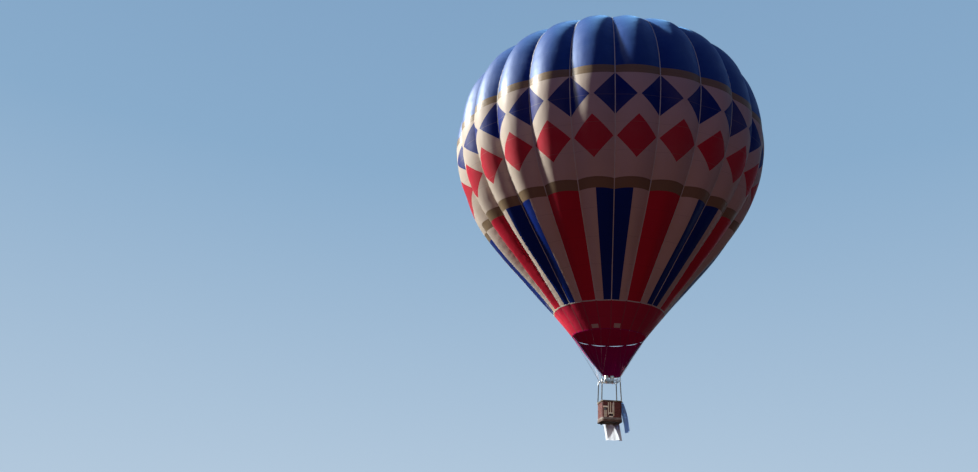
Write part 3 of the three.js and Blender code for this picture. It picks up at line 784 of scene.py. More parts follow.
SLIDE_ARCS = [arc_at_height(height) for height, _ in CLOTH_SLIDE]
SLIDES = [slide for _, slide in CLOTH_SLIDE]
gore_fullness = rng.uniform(-GORE_SPREAD, GORE_SPREAD, GORE_COUNT)
gore_middles = SEAM_AZIMUTH + (np.arange(GORE_COUNT) + 0.5) * GORE_ANGLE
gore_fullness += WINDWARD_FULLNESS * np.cos(np.radians(gore_middles - WINDWARD_AZIMUTH))
gore_phase = rng.uniform(0, 2 * math.pi, (GORE_COUNT, 4))


def wrinkle(arc, gore, across, radius, height):
    """How far the cloth dips below a smooth gore: gathers along the seams, long folds and shallow dents."""
    phase = gore_phase[gore]
    seam_phase = gore_phase[(gore + (across > 0)) % GORE_COUNT]
    from_seam = (1 - np.abs(across)) * radius * math.sin(math.radians(GORE_ANGLE / 2))
    waver = 1.3 * np.sin(1.9 * arc + seam_phase[..., 1])
    gather = GATHER_DEPTH * np.exp(-from_seam / GATHER_REACH)
    gather *= np.sin(2 * math.pi * arc / GATHER_LENGTH + seam_phase[..., 0] + waver)
    low = 1 - smooth_step(height, *FOLD_HEIGHTS)
    fold = FOLD_DEPTH * low * np.sin(3.6 * across + 0.35 * arc + phase[..., 2])
    pull = PULL_DEPTH * smooth_step(height, *PULL_HEIGHTS) * np.sin(4.2 * across + phase[..., 3])
    dent = DENT_DEPTH * np.sin(0.9 * arc + phase[..., 1])
    tilt = TILT_DEPTH * np.sin(2.1 * arc + phase[..., 3]) * across
    return gather + (1 - across**2) * (fold + pull + dent + tilt)


def envelope(arc, azimuth, out=0.0, smooth=False):
    """Points of the envelope at a length along the gore and an azimuth. Azimuth 0 faces -Y and grows to +X.

    Out is the distance outside the surface. A smooth surface keeps its bulges and has no wrinkles.
    """
    arc, azimuth = np.broadcast_arrays(np.asarray(arc, float), np.asarray(azimuth, float))
    turned = (azimuth - SEAM_AZIMUTH) / GORE_ANGLE
    seam = np.floor(turned + 1e-9)
    gore = seam.astype(int) % GORE_COUNT
    across = 2 * (turned - seam) - 1
    hump = 1 - across**2
    if not smooth:
        arc = arc + np.interp(arc, SLIDE_ARCS, SLIDES) * hump
    radius = radius_at(arc)
    height = np.interp(arc, ARC, PROFILE[:, 1])
    tangent_out = np.interp(arc, ARC, TANGENTS[:, 0])
    tangent_up = np.interp(arc, ARC, TANGENTS[:, 1])
    full = np.where(height < CROWN_HEIGHT, 1, smooth_step(radius, VENT_RADIUS, BULGE_FULL_RADIUS))
    full = full * smooth_step(height, 0, BULGE_FULL_HEIGHT)
    full = full * (1 - CROWN_EASE * smooth_step(height, *EASE_HEIGHTS))
    inset = BULGE_RATIO * radius * full * (1 - (1 + gore_fullness[gore]) * hump) - out
    if not smooth:
        fade = smooth_step(height, *CALM_HEIGHTS) * smooth_step(radius, *CALM_RADII)
        inset = inset + wrinkle(arc, gore, across, radius, height) * fade
    ring = radius - inset * tangent_up
    angle = np.radians(azimuth)
    return np.stack([ring * np.sin(angle), -ring * np.cos(angle), height + inset * tangent_out], -1)


# Envelope: panels
SHEET_CREASE = 70
STRIPE_PERIOD = 45.0
STRIPES = (
    # spans: azimuths in degrees in the first period
    {"name": "stripes_navy", "material": navy_fabric, "slot": "navy_fabric", "spans": ((-15.0, 0.0),)},
    {"name": "stripes_red", "material": red_fabric, "slot": "red_fabric", "spans": ((7.5, 22.5),)},
    {"name": "stripes_cream", "material": cream_fabric, "slot": "cream_fabric",
     "spans": ((0.0, 7.5), (22.5, 30.0))},
)
BASE_TOP = 1.24
BAND_LOW = 5.58
BAND_HIGH = 6.02
BODY_TOP = 11.04
RINGS = (
    # heights of the middle of a gore
    {"name": "base", "from": 0.0, "to": BASE_TOP, "material": base_fabric, "slot": "red_fabric",
     "node": "base_panels"},
    {"name": "lower_tan_band", "from": BAND_LOW, "to": BAND_HIGH, "material": tan_fabric,
     "slot": "tan_fabric", "node": "lower_band"},
    {"name": "body", "from": BAND_HIGH, "to": BODY_TOP, "material": body_fabric, "slot": "cream_fabric",
     "node": "body_panels"},
    {"name": "upper_tan_band", "from": BODY_TOP, "to": CROWN_HEIGHT, "material": tan_fabric,
     "slot": "tan_fabric", "node": "upper_band"},
)


def add_panel(pieces, low, high, first, last, out=0.0, thickness=FABRIC):
    """One panel of fabric between two lengths along the gore and two azimuths."""
    rows = max(2, round((high - low) / ROW_SPACING) + 1)
    wraps = last - first >= 360
    steps = round((last - first) / GORE_ANGLE * GORE_SEGMENTS)
    azimuths = first + (last - first) * np.arange(steps + (0 if wraps else 1)) / steps
    grid_arc, grid_azimuth = np.meshgrid(np.linspace(low, high, rows), azimuths, indexing="ij")
    outer = envelope(grid_arc, grid_azimuth, out)
    inner = envelope(grid_arc, grid_azimuth, out - thickness)
    turned = (grid_azimuth - SEAM_AZIMUTH) / GORE_ANGLE
    on_seam = np.abs(turned - np.round(turned)) < 1e-6
    add_sheet(pieces, outer, inner, np.stack([turned, grid_arc], -1), wraps, 0, on_seam)


def make_ring(name, low, high, material, slot, node, out=0.0, thickness=FABRIC):
    """Fabric once round the envelope, between two lengths along the gore."""
    pieces = Pieces(lap=GORE_COUNT)
    add_panel(pieces, low, high, SEAM_AZIMUTH, SEAM_AZIMUTH + 360, out, thickness)
    pieces.build(name, material, slot, node, crease=SHEET_CREASE)


def make_rings():
    for ring in RINGS:
        low = arc_at_height(ring["from"])
        high = arc_at_height(ring["to"]) - SEAM_GAP
        make_ring(ring["name"], low, high, ring["material"], ring["slot"], ring["node"])


def make_stripes():
    low = arc_at_height(BASE_TOP)
    high = arc_at_height(BAND_LOW) - SEAM_GAP
    for stripe in STRIPES:
        pieces = Pieces()
        for turn in np.arange(0, 360, STRIPE_PERIOD):
            for first, last in stripe["spans"]:
                add_panel(pieces, low, high, first + turn, last + turn)
        name, material, slot = stripe["name"], stripe["material"], stripe["slot"]
        pieces.build(name, material, slot, "striped_panels", crease=SHEET_CREASE)


def make_crown():
    low = arc_at_height(CROWN_HEIGHT)
    high = arc_at_crown_radius(VENT_RADIUS)
    make_ring("crown", low, high, crown_fabric, "navy_fabric", "crown_panels")


# Envelope: tapes, valve and mouth
TAPE_HALF = 0.023
TAPE_RISE = 0.007
TAPE_DROOP = 0.002
TAPE_LIFT = 0.0005
TAPE_WIDEST = 0.13
CROWN_RING_TUBE = 0.016
HEM = 0.05
HOOPS = (
    # at: the middle, as a length along the gore. rise: how far it stands out. through: how thick it is.
    {"name": "mouth_hem", "at": arc_at_height(0) + HEM / 2, "width": HEM, "rise": 0.005, "through": 0.014,
     "material": maroon_fabric, "slot": "red_fabric", "node": "base_panels"},
    {"name": "base_tape", "at": arc_at_height(BASE_TOP), "width": 0.06, "rise": 0.004, "through": 0.006,
     "material": load_tape, "slot": "load_tape", "node": "base_panels"},
    {"name": "vent_hem", "at": arc_at_crown_radius(VENT_RADIUS) - HEM / 2, "width": HEM, "rise": 0.003,
     "through": 0.01, "material": navy_tape, "slot": "navy_fabric", "node": "crown_panels"},
)
VALVE_ROWS = 27
VALVE_SEGMENTS = 8
VALVE_SAG = 0.010
VALVE_SEAM_SAG = 0.016
VALVE_LINES = 12
VALVE_LINE_KNOT = 1.1
EYE_HALF = (0.014, 0.02)
EYE_WIRE = 0.004
PATCHES = (
    # azimuths, heights in metres
    {"azimuths": (-35.0, -25.0), "heights": (0.07, 0.24)},
    {"azimuths": (-3.0, 6.0), "heights": (0.07, 0.26)},
)


def add_tape(pieces, azimuth, low, high, material):
    """A load tape folded over one seam."""
    arcs = np.linspace(low, high, round((high - low) / ROW_SPACING) + 1)
    half = np.degrees(np.arcsin(np.minimum(TAPE_HALF / radius_at(arcs), TAPE_WIDEST)))
    azimuths = azimuth + half[:, None] * np.array([-1.0, 0.0, 1.0])
    grid_arc = np.repeat(arcs[:, None], 3, 1)
    outer = envelope(grid_arc, azimuths, TAPE_RISE - TAPE_DROOP * np.array([1, 0, 1]))
    inner = envelope(grid_arc, azimuths, TAPE_LIFT)
    places = np.stack([np.repeat([[0.0, 0.5, 1.0]], len(arcs), 0), grid_arc], -1)
    add_sheet(pieces, outer, inner, places, False, material)


def make_tapes():
    """A tape over each seam, red on the base and pale above it, and the ring that they meet at."""
    low = arc_at_height(0) + 0.01
    change = arc_at_height(BASE_TOP)
    high = arc_at_crown_radius(CROWN_RING_RADIUS - 0.01)
    tapes = Pieces()
    for i in range(GORE_COUNT):
        azimuth = SEAM_AZIMUTH + i * GORE_ANGLE
        add_tape(tapes, azimuth, low, change, 1)
        add_tape(tapes, azimuth, change, high, 0)
    tapes.build("load_tapes", (load_tape, red_tape), "load_tape", "crown_tapes", crease=SHEET_CREASE)
    ring = Pieces()
    height = envelope(high, 0.0)[2] + CROWN_RING_TUBE / 2
    add_tube(ring, circle(CROWN_RING_RADIUS, 48) + (0, 0, height), CROWN_RING_TUBE, 12, True)
    ring.build("crown_ring", frame_steel, "load_tape", "crown_tapes")


def make_hoops():
    """Flat tapes that ring the envelope: the mouth's hem, the top of the base, and the edge of the vent."""
    for hoop in HOOPS:
        low = hoop["at"] - hoop["width"] / 2
        high = hoop["at"] + hoop["width"] / 2
        make_ring(hoop["name"], low, high, hoop["material"], hoop["slot"], hoop["node"],
                  hoop["rise"], hoop["through"])


def make_valve():
    """The parachute valve: a gored dome under the vent."""
    dome = Pieces(lap=GORE_COUNT)
    arcs = np.linspace(arc_at_crown_radius(VALVE_RADIUS), PROFILE_LENGTH - 0.02, VALVE_ROWS)
    gores = np.arange(GORE_COUNT * VALVE_SEGMENTS) / VALVE_SEGMENTS
    grid_arc, turned = np.meshgrid(arcs, gores, indexing="ij")
    azimuth = SEAM_AZIMUTH + GORE_ANGLE * turned
    across = 2 * (turned % 1) - 1
    sag = VALVE_SAG + VALVE_SEAM_SAG * across**2 * smooth_step(radius_at(grid_arc), 0.2, 1.2)
    outer = envelope(grid_arc, azimuth, -sag, True)
    inner = envelope(grid_arc, azimuth, -sag - FABRIC, True)
    add_sheet(dome, outer, inner, np.stack([turned, grid_arc], -1), True)
    dome.build(
        "valve_dome", crown_fabric, "navy_fabric", "parachute_valve", body="valve", crease=SHEET_CREASE)


def make_valve_lines():
    """Lines from the valve's edge to a knot below its middle, with a ring to pull."""
    lines = Pieces()
    start = arc_at_crown_radius(VALVE_RADIUS) + 0.03
    knot = envelope(PROFILE_LENGTH, 0.0, 0, True) * (0, 0, 1) - (0, 0, VALVE_LINE_KNOT)
    for i in range(VALVE_LINES):
        edge = envelope(start, SEAM_AZIMUTH + i * 360 / VALVE_LINES, -0.034, True)
        add_tube(lines, [edge, knot + (edge - knot) * 0.02], 0.003, 6)
    add_tube(lines, [knot - (0, 0, 0.12), knot + (0, 0, 0.03)], 0.011, 10)
    add_tube(lines, circle(0.04)[:, [0, 2, 1]] + knot - (0, 0, 0.15), 0.006, 8, True)
    lines.build("valve_lines", white_line, "load_tape", "parachute_valve", body="valve", crease=40)


def make_mouth_eyes():
    """A wire eye on each seam, at the mouth."""
    eyes = Pieces()
    flat, up, _ = circle(1, 12).T
    for i in range(GORE_COUNT):
        azimuth = SEAM_AZIMUTH + i * GORE_ANGLE
        outward = (math.sin(math.radians(azimuth)), -math.cos(math.radians(azimuth)), 0.0)
        eye = envelope(0.0, azimuth, -0.005, True) + np.outer(EYE_HALF[0] * flat, outward)
        eye[:, 2] += EYE_HALF[1] * up + 0.005
        add_tube(eyes, eye, EYE_WIRE, 6, True)
    eyes.build("mouth_eyes", frame_steel, "wire_steel", "base_panels")


def make_mouth_patches():
    patches = Pieces()
    for patch in PATCHES:
        low, high = (arc_at_height(height) for height in patch["heights"])
        add_panel(patches, low, high, *patch["azimuths"], 0.004, 0.005)
    patches.build("mouth_patches", cream_fabric, "cream_fabric", "base_panels", crease=SHEET_CREASE)


# Scoop
SCOOP_FIRST_AZIMUTH = 75.0
SCOOP_SPAN = 195.0
SCOOP_MOUTH_RADIUS = 1.9213
SCOOP_FOOT_RADIUS = 0.44
SCOOP_FOOT = -2.05
SCOOP_SLOPE = (SCOOP_MOUTH_RADIUS - SCOOP_FOOT_RADIUS) / -SCOOP_FOOT
SCOOP_LEAN = 0.14
SCOOP_TAB_TOP = 0.05
SCOOP_SLIT_DEPTH = 0.1
SCOOP_TAB_SHARPNESS = 0.35
SCOOP_TAB_ANGLE = 30.0
SCOOP_ROWS = 48
SCOOP_STEPS = 156
SCOOP_SHEET = 0.003
SCOOP_EDGE = 0.055
SCOOP_EDGE_SLOPE = 0.7226
SCOOP_EDGE_RADIUS = 0.3
SCOOP_EDGE_ROWS = 40
SCOOP_HEM = 0.05
SCOOP_TRIM = 0.003
SCOOP_TIES = (
    # azimuth on the scoop's foot, corner of the burner frame
    (77, (1, -1)), (135, (1, 1)), (225, (-1, 1)), (268, (-1, -1)),
)
SCOOP_TIE_END = (0.45, 0.515, -2.262)


def scoop_top(azimuth):
    wave = np.abs(np.sin(np.radians((azimuth - SEAM_AZIMUTH) * 180 / SCOOP_TAB_ANGLE)))
    return SCOOP_TAB_TOP - SCOOP_SLIT_DEPTH * wave**SCOOP_TAB_SHARPNESS


def scoop_points(azimuth, height, out=0.0):
    """Points of the scoop: a cone from the mouth to its foot, with soft folds and edges that curl in."""
    down = np.clip(height / SCOOP_FOOT, 0, 1)
    angle = np.radians(azimuth)
    folds = 0.022 * np.sin(12 * angle + 1.1) * np.sin(math.pi * down) ** 0.8
    folds += 0.016 * np.sin(19 * angle + 3.0 * down) * down
    folds += 0.010 * np.sin(5 * angle - 4.0 * down + 0.4)
    edge = np.minimum(azimuth - SCOOP_FIRST_AZIMUTH, SCOOP_FIRST_AZIMUTH + SCOOP_SPAN - azimuth)
    folds -= 0.02 * np.exp(-edge / 4)
    radius = SCOOP_MOUTH_RADIUS + SCOOP_SLOPE * height + folds * smooth_step(down, 0.02, 0.15) + out
    x = radius * np.sin(angle) + SCOOP_LEAN * down**2
    return np.stack([x, -radius * np.cos(angle), np.broadcast_to(height, x.shape)], -1)


def add_scoop_sheet(pieces, azimuths, heights, proud=0.0, places=None, material=0):
    """A sheet that follows the scoop. Proud is how far it stands out from the cloth on both faces."""
    outer = scoop_points(azimuths, heights, proud)
    inner = scoop_points(azimuths, heights, -SCOOP_SHEET - proud)
    add_sheet(pieces, outer, inner, places, False, material)


def make_scoop_trim(azimuths):
    """A tape down each side edge and a folded hem along the foot."""
    trim = Pieces()
    for start, side in ((SCOOP_FIRST_AZIMUTH, 1), (SCOOP_FIRST_AZIMUTH + SCOOP_SPAN, -1)):
        heights = np.linspace(SCOOP_FOOT, scoop_top(start), SCOOP_EDGE_ROWS)[:, None]
        radius = np.maximum(SCOOP_EDGE_RADIUS, SCOOP_MOUTH_RADIUS + SCOOP_EDGE_SLOPE * heights)
        across = np.array([-0.06, 1.0])[::side]
        span = start + side * np.degrees(SCOOP_EDGE / radius) * across
        add_scoop_sheet(trim, span, np.repeat(heights, 2, 1), SCOOP_TRIM)
    hem = np.repeat([[SCOOP_FOOT - SCOOP_TRIM], [SCOOP_FOOT + SCOOP_HEM]], len(azimuths), 1)
    add_scoop_sheet(trim, np.broadcast_to(azimuths, hem.shape), hem, SCOOP_TRIM, None, 1)
    return trim.build("scoop_trim", (navy_tape, maroon_fabric), "navy_fabric", "scoop", crease=SHEET_CREASE)


def make_scoop_ties():
    """Lines from toggles on the foot to the burner frame's corners."""
    ties = Pieces()
    for azimuth, (x, y) in SCOOP_TIES:
        start = scoop_points(np.array(azimuth), np.array(SCOOP_FOOT + 0.03), -0.006)
        add_tube(ties, [start, np.array(SCOOP_TIE_END) * (x, y, 1)], 0.005, 8)
        add_tube(ties, [start + (0, 0, 0.03), start - (0, 0, 0.03)], 0.011, 8)
    return ties.build("scoop_ties", white_line, "load_tape", "scoop", crease=40)


def make_scoop():
    azimuths = SCOOP_FIRST_AZIMUTH + SCOOP_SPAN * np.arange(SCOOP_STEPS + 1) / SCOOP_STEPS
    rise = np.linspace(0, 1, SCOOP_ROWS + 1)[:, None]
    heights = SCOOP_FOOT + (scoop_top(azimuths) - SCOOP_FOOT) * rise
    spread = np.broadcast_to(azimuths, heights.shape)
    pieces = Pieces()
    add_scoop_sheet(pieces, spread, heights, 0.0, np.stack([np.radians(spread), heights], -1))
    cloth = pieces.build("scoop_sheet", maroon_fabric, "maroon_fabric", "scoop", crease=SHEET_CREASE)
    edging = make_scoop_trim(azimuths)
    tying = make_scoop_ties()


# Burner frame and burners
FRAME_HEIGHT = -2.32
FRAME_HALF = (0.47, 0.54)
FRAME_TUBE = 0.04
GIMBAL_HALF_Y = 0.285
CLAMP_RADIUS = 0.0355
CLAMP_HEIGHTS = (-2.40, -2.425)
SOCKET_BOLT_OUT = 0.036
SOCKET_BOLT_HEIGHT = -2.375
BLOCK_TOP = FRAME_HEIGHT + 0.024
BLOCK_HALF = (0.25, 0.06)
BLOCK_DEPTH = 0.06
BLOCK_MIDDLE = BLOCK_TOP - BLOCK_DEPTH / 2
BURNER_SPACING = 0.15
CAN_RADIUS = 0.115
CAN_WALL = 0.004
CAN_HEIGHT = 0.26
CAN_FOOT = BLOCK_TOP + 0.001
CAN_BEADS = (0.05, 0.2)
COIL_RADIUS = 0.082
COIL_TUBE = 0.008
COIL_TURNS = 5
COIL_STEPS = 24
COIL_CLIMB = 0.17
STAND_RING = 0.071
JET_RING = 0.045
PIN_RADIUS = 0.012
GAUGE_SHIFT = 0.06
CORNERS = ((1, -1), (1, 1), (-1, 1), (-1, -1))
CORNER_NAMES = ("front_right", "back_right", "back_left", "front_left")


def add_bolt(pieces, place, axis, size):
    """A washer and a six-sided head with its top edge cut back."""
    washer = 0.2 * size
    add_lathe(pieces, disc_outline(1.5 * size, washer), place, 16, axis)
    outline = ((0, 0), (size, 0), (size, 0.6 * size), (0.85 * size, 0.7 * size), (0, 0.7 * size))
    add_lathe(pieces, outline, np.asarray(place) + washer * np.asarray(axis, float), 6, axis)


def make_frame_fittings():
    """Bolts, pin washers and socket clamps on the burner frame."""
    pieces = Pieces()
    for side in (-1, 1):
        outer = side * (FRAME_HALF[0] + FRAME_TUBE / 2 + 0.001)
        add_bolt(pieces, (outer, 0, FRAME_HEIGHT), (side, 0, 0), 0.016)
        for y in (-0.018, 0.018):
            for z in (-0.018, 0.018):
                add_bolt(pieces, (outer, y, FRAME_HEIGHT + z), (side, 0, 0), 0.004)
    for x, y in CORNERS:
        middle = np.array([x * FRAME_HALF[0], y * FRAME_HALF[1], 0])
        for height in CLAMP_HEIGHTS:
            add_tube(pieces, circle(CLAMP_RADIUS) + middle + (0, 0, height), 0.0035, 6, True)
        for away in ((x, 0, 0), (0, y, 0)):
            place = middle + SOCKET_BOLT_OUT * np.array(away) + (0, 0, SOCKET_BOLT_HEIGHT)
            add_bolt(pieces, place, away, 0.006)
    pieces.build("frame_fittings", bolt_steel, "frame_steel", crease=35)


def make_can(name, x):
    """A thin can with two rolled beads, a rolled lip and bolts round its foot."""
    can = Pieces()
    top = BLOCK_TOP + CAN_HEIGHT
    inner = CAN_RADIUS - CAN_WALL
    outline = [(inner, CAN_FOOT), (CAN_RADIUS, CAN_FOOT)]
    for bead in CAN_BEADS:
        for rise, swell in ((-0.006, 0), (0, 0.003), (0.006, 0)):
            outline.append((CAN_RADIUS + swell, CAN_FOOT + bead + rise))
    outline += [(CAN_RADIUS, top - 0.008), (CAN_RADIUS + 0.004, top - 0.004), (CAN_RADIUS + 0.003, top)]
    outline += [(CAN_RADIUS - 0.002, top), (inner, top - 0.006)]
    add_lathe(can, outline, (x, 0, 0), 48)
    for angle in turns(8) + math.pi / 8:
        away = np.array([math.cos(angle), math.sin(angle), 0])
        add_bolt(can, away * CAN_RADIUS + (x, 0, CAN_FOOT + 0.022), away, 0.004)
    can.build(f"can_{name}", burner_steel, "burner_steel", f"burner_can_{name}", body="burners", crease=35)


def make_coil(name, x):
    """The fuel coil inside a can, on four stands, over a ring of jets and a middle nozzle."""
    coil = Pieces()
    base = np.array([x, 0, BLOCK_TOP])
    steps = np.arange(COIL_TURNS * COIL_STEPS + 1)
    angles = steps / COIL_STEPS * 2 * math.pi
    climb = 0.02 + COIL_CLIMB * steps / steps[-1]
    helix = np.stack([COIL_RADIUS * np.cos(angles), COIL_RADIUS * np.sin(angles), climb], 1)
    add_tube(coil, base + helix, COIL_TUBE, 10)
    for angle in turns(4) + math.pi / 4:
        stand = base + (STAND_RING * math.cos(angle), STAND_RING * math.sin(angle), 0)
        add_tube(coil, [stand + (0, 0, 0.001), stand + (0, 0, 0.2)], 0.003, 8)
    jets = circle(JET_RING) + base + (0, 0, 0.03)
    add_tube(coil, jets, 0.006, 8, True)
    for jet in jets[::2]:
        add_tube(coil, [jet, jet + (0, 0, 0.014)], 0.0025, 6)
    add_tube(coil, [base + (0, 0, 0.001), base + (0, 0, 0.07)], 0.012, 12)
    coil.build(f"coil_{name}", coil_steel, "coil_steel", f"burner_coil_{name}", body="burners", crease=40)


def make_cans():
    for name, x in (("left", -BURNER_SPACING), ("right", BURNER_SPACING)):
        make_can(name, x)
        make_coil(name, x)


def make_manifold():
    """The block under the cans, on its two pins."""
    pieces = Pieces()
    add_block(pieces, (0, 0, BLOCK_MIDDLE), (2 * BLOCK_HALF[0], 2 * BLOCK_HALF[1], BLOCK_DEPTH), 0.006)
    collar = ((0, 0), (0.024, 0), (0.024, 0.01), (0.018, 0.014), (0, 0.014))
    for side in (-1, 1):
        face = (0, side * BLOCK_HALF[1], FRAME_HEIGHT)
        end = (0, side * (GIMBAL_HALF_Y - 0.008), FRAME_HEIGHT)
        add_tube(pieces, [face, end], PIN_RADIUS, 16)
        add_lathe(pieces, collar, face, 20, (0, side, 0))
        for x in (-0.22, -0.08, 0.08, 0.22):
            add_bolt(pieces, (x, side * BLOCK_HALF[1], BLOCK_MIDDLE), (0, side, 0), 0.006)
    build_on_block(pieces, "manifold", frame_steel, 35)


def make_brass_fittings():
    """Fuel inlets under the block, valve bodies on its front and gauge cases on its back."""
    inlet = ((0, 0), (0.018, 0), (0.018, 0.02), (0.013, 0.024), (0.013, 0.05), (0, 0.05))
    gauge = ((0, 0), (0.027, 0), (0.03, 0.004), (0.03, 0.02), (0.026, 0.022), (0, 0.022))
    fittings = Pieces()
    for x in (-0.19, -0.11, 0.11, 0.19):
        add_lathe(fittings, inlet, (x, 0, BLOCK_TOP - BLOCK_DEPTH), 12, (0, 0, -1))
    for x in (-BURNER_SPACING, BURNER_SPACING):
        add_block(fittings, (x, -0.078, BLOCK_MIDDLE - 0.004), (0.044, 0.036, 0.04), 0.004)
        add_lathe(fittings, disc_outline(0.012, 0.018), (x, -0.096, BLOCK_MIDDLE), 12, (0, -1, 0))
        add_lathe(fittings, gauge, (x + GAUGE_SHIFT, 0.061, BLOCK_MIDDLE), 24, (0, 1, 0))
    build_on_block(fittings, "brass_fittings", brass, 35)


def make_levers():
    """The blast valves' levers, each with a thicker grip."""
    arm = ((0, -0.105, 0), (0, -0.13, -0.03), (0, -0.14, -0.09), (0, -0.135, -0.15))
    grip = ((0, -0.1395, -0.085), (0, -0.137, -0.12), (0, -0.134, -0.165))
    levers = Pieces()
    for x in (-BURNER_SPACING, BURNER_SPACING):
        add_tube(levers, np.array(arm) + (x, 0, BLOCK_MIDDLE), 0.005, 8)
        add_tube(levers, np.array(grip) + (x, 0, BLOCK_MIDDLE), (0.009, 0.0115, 0.009), 12)
    build_on_block(levers, "blast_levers", red_enamel, 40)


def make_dials():
    """Blank faces on the gauges."""
    dials = Pieces()
    for x in (-BURNER_SPACING, BURNER_SPACING):
        place = (x + GAUGE_SHIFT, 0.0835, BLOCK_MIDDLE)
        add_lathe(dials, ((0, 0), (0.025, 0), (0.0, 0.001)), place, 24, (0, 1, 0))
    build_on_block(dials, "gauge_dials", blank_dial, 40)


def build_on_block(pieces, name, material, crease):
    pieces.build(name, material, "burner_steel", "burner_block", body="burners", crease=crease)


# Uprights
UPRIGHT_RADIUS = 0.028
UPRIGHT_HEAD = -2.4315
UPRIGHT_FOOT = (0.5, 0.6, -3.3785)
UPRIGHT_STEPS = 60
UPRIGHT_LACES = 24
UPRIGHT_STRAPS = (0.02, 0.97)
STRAP_RADIUS = 0.0305


def make_cover(name, foot, whole, outward, phase):
    """A padded leather sleeve, a little uneven and gathered at its ends, with one raised seam."""
    t = np.linspace(0, 1, UPRIGHT_STEPS)
    path = foot + np.outer(t, whole)
    swell = 0.0012 * np.sin(t * 2 * math.pi * 14) + 0.001 * np.sin(t * 2 * math.pi * 5 + phase)
    ends = 1 - 0.12 * np.exp(-t / 0.03) - 0.1 * np.exp(-(1 - t) / 0.03)
    cover = Pieces()
    add_tube(cover, path, (UPRIGHT_RADIUS - 0.001) * ends + swell, 24)
    add_tube(cover, path[2:-2] + outward * (UPRIGHT_RADIUS + 0.001), 0.0035, 6)
    cover.build(f"cover_{name}", cover_leather, "cover_leather", f"upright_{name}", crease=50)


def make_lacing(name, foot, whole, outward):
    """Stitches over the seam and a strap near each end."""
    laces = Pieces()
    across = 0.008 * np.array([-outward[1], outward[0], 0.0])
    for place in np.linspace(0.04, 0.96, UPRIGHT_LACES):
        knot = foot + whole * place + outward * (UPRIGHT_RADIUS + 0.003)
        add_tube(laces, [knot - across, knot + outward * 0.004, knot + across + (0, 0, 0.006)], 0.0016, 5)
    for place in UPRIGHT_STRAPS:
        add_tube(laces, circle(STRAP_RADIUS) + foot + whole * place, 0.004, 6, True)
    laces.build(f"lacing_{name}", pale_leather, "cover_leather", f"upright_{name}", crease=50)


def make_uprights():
    for (x, y), name in zip(CORNERS, CORNER_NAMES):
        foot = np.array([x * UPRIGHT_FOOT[0], y * UPRIGHT_FOOT[1], UPRIGHT_FOOT[2]])
        whole = np.array([x * FRAME_HALF[0], y * FRAME_HALF[1], UPRIGHT_HEAD]) - foot
        outward = np.array([x * 0.5, y * 0.86, 0.0])
        make_cover(name, foot, whole, outward, x + 2 * y)
        make_lacing(name, foot, whole, outward)


# Basket
BASKET_HALF = (0.52, 0.66)
BASKET_CORNER = 0.13
WALL = 0.035
WALL_FOOT = -4.44
RIM_TOP = -3.38
RIM_HEIGHT = 0.09
RIM_MIDDLE = RIM_TOP - RIM_HEIGHT / 2
RIM_HALF = (0.0425, 0.044)
RIM_LACES = 66
STAKE_COUNT = 88
STAKE_RADIUS = 0.005
STEPS_PER_STAKE = 4
CANE_RADIUS = 0.0078
CANE_PITCH = 0.0151
CANE_SWAY = 0.0092
COURSES_TO_BAND = 22
LINING_STEPS = 176
SWEEP_STEPS = 264
WEAVE_FOOT = WALL_FOOT + 0.009
WEAVE_TOP = RIM_TOP - RIM_HEIGHT - 0.002
END_WALLS = 0.6
STEP_HOLES = (
    # in the front and back walls
    {"x": -0.325, "z": -3.82, "width": 0.125, "height": 0.075},
    {"x": -0.05, "z": -4.11, "width": 0.17, "height": 0.09},
)
HOLE_FRAME = 0.022
PALE_STAVES = (
    # the front and back walls' upright strips of pale hide
    {"x": -0.177, "low": -4.12, "high": -3.50, "width": 0.038},
    {"x": -0.075, "low": -4.00, "high": -3.48, "width": 0.038},
    {"x": 0.022, "low": -4.00, "high": -3.52, "width": 0.028},
    {"x": 0.093, "low": -4.17, "high": -3.47, "width": 0.038},
    {"x": -0.372, "low": -4.23, "high": -3.885, "width": 0.026},
    {"x": -0.322, "low": -4.23, "high": -3.885, "width": 0.026},
    {"x": -0.272, "low": -4.23, "high": -3.885, "width": 0.026},
)
FOOT_GUARDS = (
    # the same walls' strips of pale hide above and below the lower hole, and the plate above the upper one
    {"x": -0.05, "z": -4.03, "width": 0.21, "height": 0.06},
    {"x": -0.05, "z": -4.205, "width": 0.21, "height": 0.05},
    {"x": -0.325, "z": -3.715, "width": 0.235, "height": 0.075},
)
BELT_SECTION = (
    # out from the wall, height
    (-0.002, -4.319), (0.005, -4.3185), (0.007, -4.31), (0.007, -4.245), (0.005, -4.237), (-0.002, -4.2365),
)
SKIRT_SECTION = (
    (0.0005, -4.437), (0.020, -4.4395), (0.026, -4.430), (0.019, -4.40), (0.013, -4.36), (0.011, -4.325),
    (0.008, -4.3205), (0.0005, -4.322),
)
SKIRT_OUT = 0.0005
STITCH_OUT = 0.012
STITCH_HEIGHT = -4.333
STITCH_COUNT = 176


